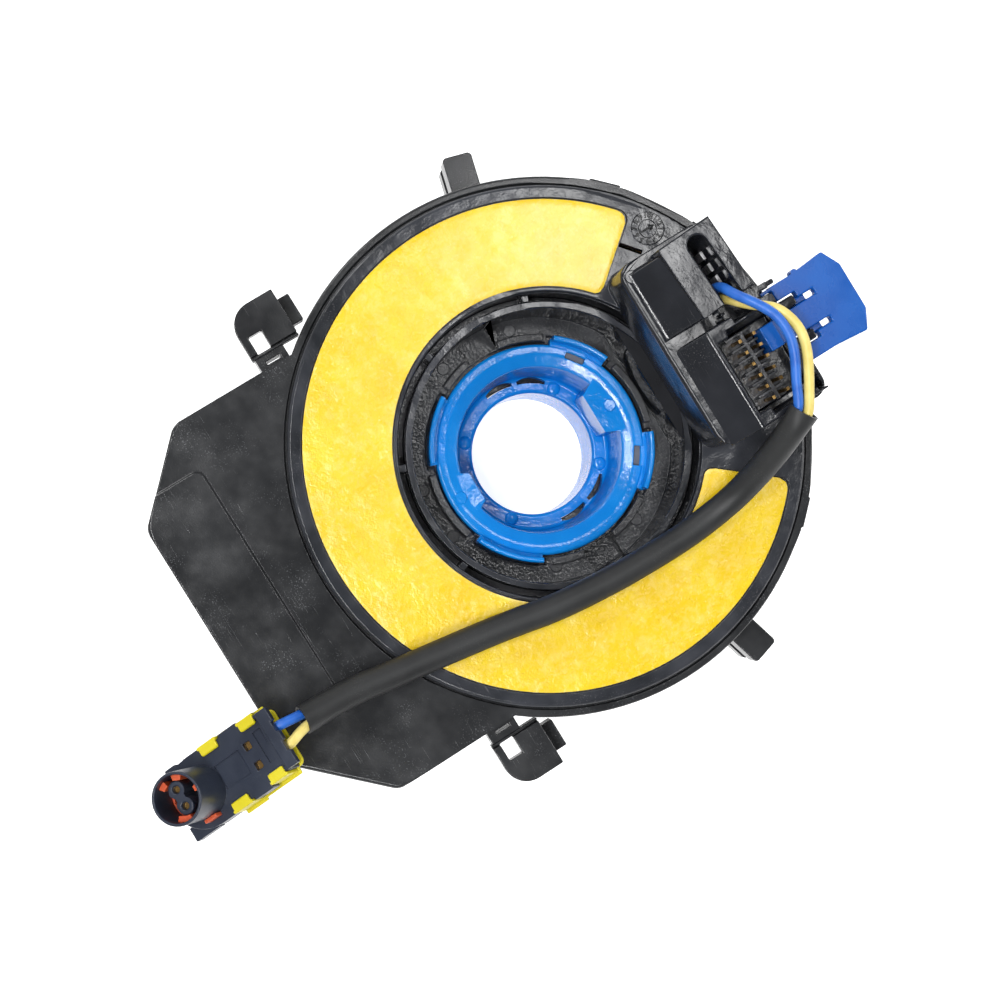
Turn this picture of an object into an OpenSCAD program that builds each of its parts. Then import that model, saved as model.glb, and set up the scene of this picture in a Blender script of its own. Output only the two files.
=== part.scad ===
// Steering clock spring, seen from the steering wheel's side.
// Origin on the column axis, at the surface the part stands on. +Z points at the driver,
// +Y from the axis to the socket tower. The connector box lies towards -Y.

/* [Disc] */
// Height of the rotor plate's top face above the surface
disc_z = 38; // [36:0.5:42]
// Outer radius of the housing
housing_r = 54.5; // [54:0.5:58]
// Thickness of the rim round the rotor plate
rim_wall = 1.5; // [1.2:0.1:1.8]
// How far the rotor plate stands above the rim
plate_proud = 1.2; // [1:0.1:1.5]
// Thickness of the rotor plate
plate_t = 1.8; // [1.6:0.1:2.2]
// Gap between the edge of the rotor plate and the rim
plate_gap = 0.5; // [0.4:0.1:0.8]
// Running gap between faces that turn on each other
running_gap = 0.3; // [0.2:0.05:0.4]
// Wall of the round chamber
chamber_wall = 2.3; // [2:0.1:3]
// Height of the underside of the housing's floor
floor_z = 14; // [13:0.5:16]
// Thickness of the housing's floor
floor_t = 2; // [1.6:0.1:2.4]

/* [Connector box] */
// Half of the width of the box
box_half_w = 42; // [40:0.5:44]
// Distance from the axis to the outer face of the box
box_reach = 76.7; // [74:0.5:80]
// Size of the chamfers on the outer corners of the box
box_chamfer = 15; // [12:0.5:17]
// Wall thickness of the box
box_wall = 2; // [1.8:0.1:2.4]
// Height of the raised strip on the box
strip_h = 0.8; // [0.6:0.1:1]
// Depth of the raised strip from the outer face
strip_d = 15; // [12:0.5:18]
// Thickness of the plate that closes the box from below
cover_t = 2; // [1.6:0.1:2.6]

/* [Side lugs and brackets] */
// Width of the two side lugs
lug_w = 6.2; // [5:0.1:8]
// Radius to the outer face of the side lugs
lug_r = 62.6; // [60:0.2:65]
// Thickness of the side lugs
lug_t = 4.5; // [3:0.5:6]
// Angle of the side lugs above the X axis
lug_angle = 15.4; // [12:0.2:20]
// Reach of the clip brackets from the Y axis
bracket_reach = 55.6; // [53:0.1:58]
// Thickness of the bracket plates
bracket_t = 3; // [2.4:0.2:4]

/* [Hub] */
// Width of the groove between the well's wall and the drum's
groove_w = 1.5; // [1.4:0.1:1.9]
// Wall of the drum
drum_wall = 1.5; // [1.3:0.1:1.8]
// Inner radius of the well
well_r = 27.8; // [27.4:0.1:28.2]
// Wall of the well
well_wall = 1.4; // [1.2:0.1:1.6]
// Depth of the well's floor below the plate
well_depth = 14.5; // [13:0.5:16]
// Radius of the blue ring's flange
ring_r = 22; // [21.4:0.1:22.4]
// Thickness of the blue ring's flange
ring_t = 3; // [2.4:0.2:3.6]
// Inner radius of the blue ring's top face
ring_in_r = 17.4; // [17:0.1:17.8]
// Radius of the bore for the column
bore_r = 13; // [12.5:0.1:13.2]
// Wall of the tube round the bore
bore_wall = 2; // [1.6:0.1:2.4]
// Height of the lowest edge of the bore's tube
bore_end_z = 0; // [0:0.1:2]

/* [Label] */
// Distance from the edge of the well's opening to the label
label_inset = 1.2; // [0.8:0.1:2]
// Distance from the label to the edge of the rotor plate
label_margin = 3; // [2.5:0.5:5]
// Thickness of the label
label_t = 0.2; // [0.15:0.05:0.3]

/* [Tower] */
// Height of the tower's ledge above the plate
ledge_h = 11.5; // [10:0.5:13]
// Height of the large socket's rim above the plate
rim_h = 16; // [15:0.5:17]
// Height of the small socket's block above the plate
block_h = 17; // [16:0.5:18]
// How far the tower's front face stands over the well's opening
tower_inset = 4.2; // [3.8:0.1:4.6]
// Depth of the tower from its front face to its back face
tower_d = 24.9; // [24.6:0.1:25.6]
// Spacing of the large socket's pins
pin_pitch = 2.55; // [2.5:0.01:2.6]
// Width of a contact pin
pin_w = 0.64; // [0.5:0.01:0.8]

/* [Shipping lock] */
// Length of the lock's plate outside the tower
lock_len = 9.5; // [8:0.5:12]
// Width of the lock's plate at its outer end
lock_w = 18.2; // [17:0.2:19]
// Thickness of the lock's plate
lock_t = 2.4; // [2:0.1:3]
// Width of the lock's spring tongue
tongue_w = 5.2; // [4.4:0.1:5.4]

/* [Airbag lead] */
// Diameter of each wire
wire_d = 2; // [1.8:0.1:2.1]
// Outer diameter of the sleeve
sleeve_d = 5.6; // [5.4:0.1:6]
// Wall of the sleeve
sleeve_wall = 0.5; // [0.4:0.05:0.55]

/* [Squib connector] */
// Width of the connector's body
plug_w = 13.4; // [12:0.2:14]
// Length of the connector's body from the wire end to the barrel's axis
plug_len = 19; // [18:0.1:20]
// Thickness of the connector's body
plug_t = 4.2; // [4:0.2:6]
// Radius of the barrel
barrel_r = 5.1; // [5:0.1:5.6]
// Length of the barrel above the body
barrel_len = 10.5; // [9:0.5:12]
// How far the connector droops
plug_droop = 20; // [16:1:22]
// How far the connector rolls to the left
plug_roll = 13; // [8:1:15]

/* [Hidden] */
$fn = 96;
eps = 0.01;
through = 200;

// Levels and radii that follow from the driving sizes
rim_z = disc_z - plate_proud;
plate_z = disc_z - plate_t;
rim_in_r = housing_r - rim_wall;
plate_r = rim_in_r - plate_gap;
chamber_r = housing_r - chamber_wall;
ledge_z = plate_z - running_gap;
floor_top = floor_z + floor_t;
strip_z = rim_z + strip_h;
well_out_r = well_r + well_wall;
drum_in_r = well_out_r + groove_w;
drum_r = drum_in_r + drum_wall;
drum_end_z = floor_z - running_gap - 2.2;
tower_y = drum_in_r - tower_inset;
well_floor_z = disc_z - well_depth;
ring_top_z = well_floor_z + 1;
ring_seat_z = ring_top_z - ring_t;
tower_top = disc_z + ledge_h;
socket_top = disc_z + rim_h;
block_top = disc_z + block_h;

// Colours as the photograph shows them
black = [0.13, 0.13, 0.14];
blue = [0.08, 0.47, 0.88];
deep_blue = [0.06, 0.37, 0.75];
yellow = [0.98, 0.84, 0.12];
slate = [0.17, 0.19, 0.22];
brass = [0.72, 0.56, 0.28];

// Pieces of a ring: an annulus between two heights, and a wedge to cut it by angle
module annulus(r_in, r_out, z0, z1) {
    translate([0, 0, z0])
        difference() {
            cylinder(r = r_out, h = z1 - z0);
            translate([0, 0, -eps]) cylinder(r = r_in, h = z1 - z0 + 2 * eps);
        }
}

module wedge(a0, a1, r, z0, z1) {
    am = (a0 + a1) / 2;
    translate([0, 0, z0])
        linear_extrude(z1 - z0)
            polygon([[0, 0], [r * cos(a0), r * sin(a0)], [1.2 * r * cos(am), 1.2 * r * sin(am)],
                [r * cos(a1), r * sin(a1)]]);
}

module arc_block(r_in, r_out, a0, a1, z0, z1) {
    intersection() {
        annulus(r_in, r_out, z0, z1);
        wedge(a0, a1, 1.3 * r_out, z0 - 1, z1 + 1);
    }
}

// A box between two corners
module block(p, q) {
    translate([p[0], p[1], p[2]])
        cube([q[0] - p[0], q[1] - p[1], q[2] - p[2]]);
}

// An upright block whose four vertical edges are rounded
module round_block(p, q, r) {
    h = q[2] - p[2];
    block([p[0] + r, p[1], p[2]], [q[0] - r, q[1], q[2]]);
    block([p[0], p[1] + r, p[2]], [q[0], q[1] - r, q[2]]);
    for (x = [p[0] + r, q[0] - r])
        for (y = [p[1] + r, q[1] - r])
            translate([x, y, p[2]])
                cylinder(r = r, h = h, $fn = 32);
}

// A prism along X from a side outline given as [y, z] points
module side_prism(x0, x1, outline) {
    translate([x0, 0, 0])
        rotate([90, 0, 90])
            linear_extrude(x1 - x0)
                polygon(outline);
}

// Housing: cup, connector box, lugs and brackets in one moulding
function arc(cx, cy, r, a0, a1, n = 5) =
    [for (i = [0:n]) let (a = a0 + (a1 - a0) * i / n) [cx + r * cos(a), cy + r * sin(a)]];

box_corner_r = 3;
box_upper_y = -34;
box_lower_y = -39;

// Right half of the box's outline, moved inwards by t, then its mirror image
function box_half(t, back_y) =
    let (w = box_half_w - t, d = box_reach - t, c = box_chamfer - t * (2 - sqrt(2)),
        f = box_corner_r, g = f * tan(22.5))
    concat([[w, back_y - t]], arc(w - f, -(d - c) + g, f, 0, -45),
        arc(w - c - g, -d + f, f, -45, -90));
function flip(points) = [for (i = [len(points) - 1:-1:0]) [-points[i][0], points[i][1]]];

module box_prism(t, z0, z1, back_y = box_lower_y) {
    half = box_half(t, back_y);
    translate([0, 0, z0])
        linear_extrude(z1 - z0)
            polygon(concat(half, flip(half)));
}

module cup() {
    ledge_in_r = plate_r - 1.6;
    rotate_extrude()
        polygon([[drum_r + running_gap, floor_z], [housing_r, floor_z], [housing_r, rim_z],
            [rim_in_r, rim_z], [rim_in_r, ledge_z], [ledge_in_r, ledge_z],
            [ledge_in_r, ledge_z - 1.4], [chamber_r, ledge_z - 3], [chamber_r, floor_top],
            [drum_r + running_gap, floor_top]]);
}

strip_x0 = -32;
strip_x1 = 23.8;

module box_shell() {
    difference() {
        union() {
            box_prism(0, cover_t, floor_top);
            box_prism(0, floor_z, rim_z, box_upper_y);
            intersection() {
                round_block([strip_x0, -box_reach - 4, rim_z - 1],
                    [strip_x1, -box_reach + strip_d, strip_z], 1.8);
                box_prism(0, rim_z - 1, strip_z + 1);
            }
        }
        difference() {
            box_prism(box_wall, cover_t - 1, rim_z - box_wall);
            translate([0, 0, floor_z]) cylinder(r = housing_r, h = rim_z);
        }
        translate([0, 0, floor_top]) cylinder(r = rim_in_r, h = through);
        translate([0, 0, floor_z - eps]) cylinder(r = drum_r + running_gap, h = through);
    }
}

// Window in the cup's wall where the ribbon's outer end passes to the box
ribbon_window = [[2.8, -housing_r - 5.5, 25.8], [11.2, -chamber_r + 7.2, 33.2]];

// Lug with a thinner web and a second plate below; the two sit half a degree off the mirror image
module side_lug(side) {
    top = disc_z - 8;
    half = lug_w / 2;
    rotate([0, 0, side > 0 ? lug_angle + 0.5 : 180 - lug_angle + 0.5])
        difference() {
            union() {
                round_block([housing_r - 4, -half, top - lug_t], [lug_r, half, top], 0.9);
                block([housing_r - 4, -half + 0.8, top - 10], [lug_r - 1, half - 0.8, top - lug_t + 1]);
                round_block([housing_r - 4, -half, top - 10.5], [lug_r - 0.6, half, top - 7], 0.9);
            }
            cylinder(r = housing_r - 1, h = through);
        }
}

module bracket(side) {
    top = disc_z - 4;
    in_x = box_half_w + 3.5;
    mirror([side < 0 ? 1 : 0, 0, 0]) {
        difference() {
            union() {
                block([in_x - 0.5, -41.8, top - bracket_t], [bracket_reach - 5, -31.1, top]);
                block([bracket_reach - 6, -36.8, top - bracket_t], [bracket_reach, -31.1, top]);
                intersection() {
                    translate([bracket_reach - 5, -36.8, top - bracket_t]) cylinder(r = 5, h = bracket_t);
                    block([bracket_reach - 5.5, -42, 0], [bracket_reach + 1, -36.7, through]);
                }
            }
            block([in_x + 0.3, -40.1, top - bracket_t - 1], [in_x + 4, -37.1, top + 1]);
            block([in_x - 0.1, -42, top - 1.6], [in_x + 0.3, -31, top + 1]);
        }
        // Hook leg below the plate, with the block that shows beyond its edge
        block([in_x + 2.4, -33, floor_z + 6], [bracket_reach - 1.6, -31.1, top - bracket_t]);
        block([in_x + 2.4, -31.1, disc_z - 14], [bracket_reach - 1.6, -28.1, disc_z - 10]);
        // Link to the box, with a slot that frees the clip
        difference() {
            block([box_half_w - 0.5, -41.3, disc_z - 10], [in_x, -34.9, top - 0.4]);
            block([box_half_w + 1, -39.6, floor_z], [box_half_w + 1.7, -36.4, through]);
        }
    }
}

module housing() {
    color(black) {
        difference() {
            union() {
                cup();
                box_shell();
            }
            block(ribbon_window[0], ribbon_window[1]);
        }
        for (side = [-1, 1]) {
            side_lug(side);
            bracket(side);
        }
        // Snap ribs on the outside of the rim
        for (a = [44, 68, 112, 136])
            rotate([0, 0, a])
                block([housing_r - 0.5, -3.2, rim_z - 6], [housing_r + 0.5, 3.2, rim_z - 0.6]);
    }
}

// Column-side sockets and the plate that holds them in the box
header_half = 7.5;
header_y = -(housing_r + 0.5 + header_half);
header_gap = 0.2;
airbag_win = [[-26.3, header_y - header_half], [-9.5, header_y + header_half]];
switch_win = [[-5.5, header_y - header_half], [26.3, header_y + header_half]];
flange = 1;
header_wall = 2;
header_z0 = 0.6;
header_top = 22;
socket_depth = 13;

module back_cover() {
    color(black)
        difference() {
            union() {
                box_prism(0, 0, cover_t);
                difference() {
                    box_prism(box_wall + header_gap, cover_t - 0.5, cover_t + 1.5);
                    box_prism(box_wall + 1.2, cover_t - 1, cover_t + 2);
                }
            }
            for (w = [airbag_win, switch_win])
                block([w[0][0], w[0][1], -1], [w[1][0], w[1][1], cover_t + 1]);
        }
}

module header(w) {
    difference() {
        union() {
            block([w[0][0] + header_gap, w[0][1] + header_gap, header_z0],
                [w[1][0] - header_gap, w[1][1] - header_gap, header_top]);
            block([w[0][0] - flange, w[0][1] - flange, cover_t],
                [w[1][0] + flange, w[1][1] + flange, cover_t + 2]);
        }
        block([w[0][0] + header_wall, w[0][1] + header_wall, -1],
            [w[1][0] - header_wall, w[1][1] - header_wall, header_z0 + socket_depth]);
    }
}

// One header pin, from the socket up into the ribbon's outer block
module header_pin(x, y) {
    block([x - pin_w / 2, y - pin_w / 2, 5], [x + pin_w / 2, y + pin_w / 2, header_top + 5]);
}

module airbag_pins() {
    middle = (airbag_win[0][0] + airbag_win[1][0]) / 2;
    for (x = [middle - 2.5, middle + 2.5])
        header_pin(x, header_y);
}

module switch_pins_back() {
    middle = (switch_win[0][0] + switch_win[1][0]) / 2;
    for (i = [0:7])
        for (y = [header_y - 2, header_y + 2])
            header_pin(middle + (i - 3.5) * pin_pitch, y);
}

module airbag_header() {
    color(yellow)
        difference() {
            header(airbag_win);
            airbag_pins();
        }
}

module airbag_header_pins() {
    color(brass) airbag_pins();
}

module switch_header() {
    color([0.2, 0.2, 0.21])
        difference() {
            header(switch_win);
            switch_pins_back();
        }
}

module switch_header_pins() {
    color(brass) switch_pins_back();
}

// Ribbon and the two blocks that carry its ends
ribbon_z0 = floor_top + 1.5;
ribbon_z1 = ledge_z - 3;
ribbon_t = 0.35;
ribbon_turns = 5;
ribbon_r0 = drum_r + 1;
ribbon_r1 = chamber_r - 0.35;
function spiral(dr, n) =
    [for (i = [0:n]) let (k = i / n, a = -82 - 360 * ribbon_turns * (1 - k),
        r = ribbon_r0 + (ribbon_r1 - ribbon_r0) * k + dr) [r * cos(a), r * sin(a)]];
function backwards(points) = [for (i = [len(points) - 1:-1:0]) points[i]];

module ribbon_cable() {
    n = 28 * ribbon_turns;
    color([0.85, 0.85, 0.8])
        translate([0, 0, ribbon_z0])
            linear_extrude(ribbon_z1 - ribbon_z0)
                polygon(concat(spiral(0, n), backwards(spiral(-ribbon_t, n))));
}

module ribbon_outer_block() {
    color([0.8, 0.8, 0.76])
        difference() {
            union() {
                block([-25, header_y - 4, header_top + 1], [24, header_y + 4, rim_z - box_wall]);
                block([ribbon_window[0][0] + 0.2, header_y + 3, ribbon_window[0][2] + 0.2],
                    [ribbon_window[1][0] - 0.2, -chamber_r + 0.5, ribbon_window[1][2] - 0.2]);
            }
            airbag_pins();
            switch_pins_back();
        }
}

// The inner block fills a window in the drum, behind the tower's foot
inner_half_angle = 13;

module ribbon_inner_block() {
    color([0.8, 0.8, 0.76])
        arc_block(well_out_r, drum_r - running_gap, 90 - inner_half_angle, 90 + inner_half_angle,
            floor_top + 2, plate_z);
}

// Hub: drum, well, shelf and the cup below the ring's funnel in one moulding. The ring's four
// tabs stand at these angles.
tabs = [[37, 68], [112, 143], [211, 247], [293, 329]];
shelf_r = ring_r + 0.6;
funnel_r = 19;
collar_r = shelf_r + 1.4;
funnel_floor_z = ring_seat_z - 8.3;
funnel_end_z = funnel_floor_z - 2;
cup_in_r = bore_r + bore_wall + running_gap;
cup_z = funnel_end_z - running_gap - 1.5;
groove_z = plate_z - 5.2;

module rotor_hub() {
    top = plate_z - 0.2;
    color(black) {
        difference() {
            rotate_extrude()
                polygon([[cup_in_r, cup_z], [funnel_r + 1.7, cup_z],
                    [funnel_r + 1.7, ring_seat_z - 3], [collar_r, ring_seat_z - 3],
                    [collar_r, ring_seat_z - 1],
                    [well_out_r, ring_seat_z - 1], [well_out_r, groove_z - 1.5],
                    [drum_in_r, groove_z - 1.5], [drum_in_r, drum_end_z], [drum_r, drum_end_z],
                    [drum_r, plate_z], [drum_in_r, plate_z], [drum_in_r, groove_z],
                    [well_out_r, groove_z], [well_out_r, top], [well_r, top],
                    [well_r, well_floor_z], [shelf_r, well_floor_z], [shelf_r, ring_seat_z],
                    [funnel_r + 0.2, ring_seat_z], [funnel_r + 0.2, cup_z + 1.5],
                    [cup_in_r, cup_z + 1.5]]);
            for (t = tabs)
                arc_block(shelf_r - 1, collar_r, t[0] - 2, t[1] + 2, ring_seat_z + 0.1, through);
            for (side = [-1, 1])
                translate([side * (well_r - 2.45), 0, ring_seat_z + 6])
                    cube([5.1, 7.2, 12], center = true);
            arc_block(well_out_r, drum_r + 1, 90 - inner_half_angle, 90 + inner_half_angle,
                floor_top + 2, through);
        }
        // Ribs that stiffen the groove between well and drum
        for (a = [22.5, 157.5, 202.5, 247.5, 292.5, 337.5])
            rotate([0, 0, a])
                block([well_out_r - 0.2, -0.8, groove_z - 0.5], [drum_in_r + 0.2, 0.8, plate_z - 1]);
        // Arc ribs on the well's floor, between the ring's tabs
        for (a = [[9, 33], [73, 107], [147, 171], [189, 206], [252, 288], [334, 351]])
            arc_block(shelf_r, shelf_r + 1.5, a[0], a[1], well_floor_z - 0.5, well_floor_z + 1.7);
        // Straight wall in front of the tower, with a sloped top
        intersection() {
            side_prism(-15, 15, [[well_r - 3.45, well_floor_z - 0.5], [well_r - 3.45, plate_z - 1.8],
                [well_r - 0.7, top], [well_r + 0.7, top], [well_r + 0.7, well_floor_z - 0.5]]);
            translate([0, 0, floor_z]) cylinder(r = well_r + 0.3, h = through);
        }
    }
}

// Ring that snaps onto the drum's end below the floor and holds the rotor in the cup
module retainer() {
    color([0.9, 0.9, 0.88])
        annulus(drum_r, drum_r + 4.3, drum_end_z, floor_z - running_gap);
}

// Blue ring: flange, funnel and tube round the bore
boss_r = 14.75;
tab_z = ring_top_z + 3.5;

module hub_ring() {
    color(blue) {
        difference() {
            rotate_extrude()
                polygon([[bore_r, bore_end_z], [bore_r + bore_wall, bore_end_z],
                    [bore_r + bore_wall, funnel_end_z], [funnel_r, funnel_end_z],
                    [funnel_r, ring_seat_z], [ring_r, ring_seat_z], [ring_r, ring_top_z],
                    [ring_in_r, ring_top_z], [ring_in_r - 1, funnel_floor_z],
                    [bore_r, funnel_floor_z]]);
            // Windows beside the upper tabs
            for (a = [55, 127.5])
                rotate([0, 0, a])
                    block([ring_r - 2.3, -2.1, ring_seat_z - 1], [ring_r - 0.2, 2.1, through]);
            // Slots in the funnel's floor, each with a web halfway
            for (a = [[-8, 15], [19, 42], [138, 161], [165, 188]])
                arc_block(bore_r + bore_wall + 0.05, 16.3, a[0], a[1], floor_z - 6, funnel_floor_z + 1);
        }
        // Snap tabs round the flange, each with a lip that stands up at its outer edge
        for (t = tabs) {
            arc_block(ring_r - 0.5, ring_r + 1, t[0], t[1], ring_seat_z + 0.2, ring_top_z - 0.2);
            arc_block(ring_r + 0.5, ring_r + 1.6, t[0] + 0.6, t[1] - 0.6, ring_seat_z + 0.2, tab_z);
        }
        // Keys that drive the ring from the column
        intersection() {
            union() {
                block([-5.4, bore_r, ring_top_z - 8], [4.8, ring_in_r + 0.6, ring_top_z]);
                block([-4.2, -ring_in_r - 0.6, ring_top_z - 8], [3.7, -15.3, ring_top_z]);
            }
            cylinder(r = funnel_r - 0.4, h = through);
        }
        // Small bosses on the funnel's floor
        for (a = [50, 130, 230, 310])
            rotate([0, 0, a])
                translate([boss_r, 0, funnel_floor_z - 0.5])
                    cylinder(r = 1.5, h = 1.1, $fn = 32);
    }
}

// Label: a ring with a gap for the tower and rounded corners
gap_start = 50.3;
gap_end = 129.4;
label_corner = 2;
label_in_r = drum_in_r + label_inset;
label_out_r = plate_r - label_margin;
recess_d = 0.4;
function polar(r, a) = [r * cos(a), r * sin(a)];
function corner_turn(r) = asin(label_corner / r);
function label_outline(grow) =
    let (ro = label_out_r + grow, ri = label_in_r - grow, c = label_corner,
        a0 = gap_end - grow, a1 = gap_start + 360 + grow, po = ro - c, pi = ri + c,
        to = corner_turn(po), ti = corner_turn(pi), s0 = polar(po, a0 + to),
        s1 = polar(po, a1 - to), e1 = polar(pi, a1 - ti), e0 = polar(pi, a0 + ti))
    concat(arc(s0[0], s0[1], c, a0 - 90, a0 + to), arc(0, 0, ro, a0 + to + 3, a1 - to - 3, 90),
        arc(s1[0], s1[1], c, a1 - to, a1 + 90), arc(e1[0], e1[1], c, a1 + 90, a1 - ti + 180),
        arc(0, 0, ri, a1 - ti - 3, a0 + ti + 3, 90),
        arc(e0[0], e0[1], c, a0 + ti + 180, a0 + 270));

module label() {
    color(yellow)
        translate([0, 0, disc_z - recess_d])
            linear_extrude(label_t)
                polygon(label_outline(0));
}

// Tower, drawn from its front face: x from the axis, y to the back
tower_x0 = -22.4;
tower_x1 = 19.6;
tower_corner = 3;
tower_outline = concat(
    arc(tower_x0 + tower_corner, tower_corner, tower_corner, 180, 270),
    arc(tower_x1 - 1.3 - tower_corner, tower_corner, tower_corner, 270, 360),
    arc(tower_x1 - tower_corner, tower_d - tower_corner, tower_corner, 0, 90),
    [[-5.3, tower_d], [-5.3, tower_d - 3.9], [-22, tower_d - 4.8], [tower_x0, tower_d - 7.4]]);
slope_y = 1.9;
socket_floor = disc_z + 4;
socket_front = 7.7;
wall_back = tower_d - 1.6;
pin_rows = [13.4, 16.7];
pins_mid = 8.475;
pins_half = 2.5 * pin_pitch;
lock_x = 4.6;
leg_in = 5.2;
lock_z1 = disc_z + 10;
lock_z0 = lock_z1 - lock_t;
slide_gap = 0.3;

module at_tower() {
    translate([0, tower_y, 0])
        children();
}

// Frame of the small socket's block, turned a little
module small_frame() {
    translate([-21.3, socket_front + 0.1, 0])
        rotate([0, 0, 3])
            children();
}

module socket_pins() {
    for (i = [0:5])
        for (y = pin_rows)
            translate([pins_mid - pins_half + i * pin_pitch, y, disc_z + 2])
                block([-pin_w / 2, -pin_w / 2, 0], [pin_w / 2, pin_w / 2, rim_h - 4]);
}

module squib_blades() {
    small_frame()
        for (i = [0:3])
            block([4.9 + i * 2.75, 8.2, disc_z + 5], [6.6 + i * 2.75, 8.8, tower_top + 0.5]);
}

module tower_body() {
    // Foot and ledge
    intersection() {
        translate([0, 0, plate_z]) linear_extrude(plate_t + 1) polygon(tower_outline);
        translate([0, -tower_y, plate_z]) cylinder(r = plate_r - 0.6, h = through);
    }
    translate([0, 0, disc_z]) linear_extrude(ledge_h) polygon(tower_outline);
    // Large socket's walls with the sloped face in front
    side_prism(-3, 18.7, [[slope_y, tower_top - 0.5], [slope_y, tower_top],
        [socket_front, socket_top], [wall_back, socket_top], [wall_back, tower_top - 0.5]]);
    // Small socket's block with its sloped face
    side_prism(-20.2, -5.3, [[slope_y, tower_top - 0.5], [slope_y, tower_top],
        [socket_front + 1, block_top - 0.6], [socket_front + 2.8, block_top - 0.6],
        [socket_front + 2.8, tower_top - 0.5]]);
    small_frame() block([0, 0, tower_top - 0.5], [16.1, 12.3, block_top]);
    // Ribs between the two blocks
    block([-5.6, 10.1, tower_top - 0.5], [-2.8, 10.9, socket_top - 1]);
    block([-4.4, 12.9, tower_top - 0.5], [-3.9, 14.3, tower_top + 2]);
    // Posts and lug that guide the shipping lock
    post_in = tongue_w / 2 + slide_gap;
    post_out = leg_in - slide_gap;
    for (side = [-1, 1])
        translate([lock_x + side * (post_in + post_out) / 2, 0, 0])
            block([(post_in - post_out) / 2, wall_back, disc_z + 6],
                [(post_out - post_in) / 2, tower_d + 3.8, disc_z + 10.5]);
    block([-5.2, wall_back, disc_z + 6], [-4.2, tower_d + 2, disc_z + 10.5]);
}

module tower_cuts() {
    // Space below the sockets, open to the ribbon chamber, short of the plate's edge
    space_back = min(wall_back - 0.4, plate_r - tower_y - 3);
    block([-20.4, 7, floor_z], [17.6, 18.5, socket_floor - 1.5]);
    block([-3.5, 7, floor_z], [17.6, space_back, socket_floor - 1.5]);
    block([-20.4, 2, disc_z], [tower_x1 - 3.2, 7.5, tower_top - 2]);
    // Large socket, wider behind its front corners
    block([pins_mid - pins_half - 1.8, socket_front + 1, socket_floor],
        [pins_mid + pins_half + 1.15, wall_back + 0.4, through]);
    block([pins_mid - pins_half - 3.2, pin_rows[0] - 2.1, socket_floor + 2],
        [pins_mid + pins_half + 2.65, wall_back + 0.4, through]);
    block([pins_mid + pins_half - 0.45, wall_back - 2, socket_floor + 4],
        [pins_mid + pins_half + 3.45, wall_back + 0.8, through]);
    // Small socket's slot, open at its right end
    small_frame() {
        translate([3.7, 7.3, disc_z + 6]) cylinder(r = 2.1, h = through, $fn = 32);
        block([3.7, 5.2, disc_z + 6], [20, 9.4, through]);
    }
    // Channel for the lock's tongue, and a slot for its left finger
    block([lock_x - tongue_w / 2 - slide_gap, wall_back - 1, lock_z0 - slide_gap],
        [lock_x + tongue_w / 2 + slide_gap, tower_d + 1, through]);
    block([-4, wall_back - 0.6, lock_z0 - slide_gap], [-2.6, tower_d + 1, through]);
}

module rotor_cover() {
    color(black)
        difference() {
            union() {
                rotate_extrude()
                    polygon([[drum_in_r + 0.2, plate_z], [plate_r, plate_z], [plate_r, disc_z - 0.5],
                        [plate_r - 0.5, disc_z], [drum_in_r + 0.2, disc_z]]);
                at_tower() tower_body();
            }
            at_tower() {
                tower_cuts();
                socket_pins();
                squib_blades();
            }
            // Label's recess, date dial and the slits beside the tower
            translate([0, 0, disc_z - recess_d]) linear_extrude(1) polygon(label_outline(0.25));
            translate(concat(polar(plate_r - 4.13, 123.8), [disc_z - 0.3])) cylinder(r = 3.4, h = 1);
            for (side = [-1, 1])
                translate([side * 25.2, 34.9, plate_z])
                    rotate([0, 0, side * -40.5])
                        cube([5, 1, 8], center = true);
        }
}

// Insert that holds the large socket's pins, with walls between them
module socket_insert() {
    x0 = pins_mid - pins_half - 1.6;
    x1 = pins_mid + pins_half + 0.95;
    y0 = pin_rows[0] - 2.5;
    y1 = pin_rows[1] + 1.1;
    mid = (pin_rows[0] + pin_rows[1]) / 2;
    color(black)
        at_tower()
            difference() {
                union() {
                    block([x0, y0, socket_floor], [x1, y1, socket_floor + 4.6]);
                    for (i = [0:5])
                        block([pins_mid - pins_half + (i - 0.5) * pin_pitch - 0.25, y0 + 0.8,
                            socket_floor + 4], [pins_mid - pins_half + (i - 0.5) * pin_pitch + 0.25,
                            y1, socket_floor + 7]);
                    block([x0 + 0.08, mid - 0.25, socket_floor + 4], [x1, mid + 0.55,
                        socket_floor + 7]);
                }
                socket_pins();
            }
}

module switch_pins() {
    color(brass) at_tower() socket_pins();
}

module squib_contacts() {
    color(brass) at_tower() squib_blades();
}

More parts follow.
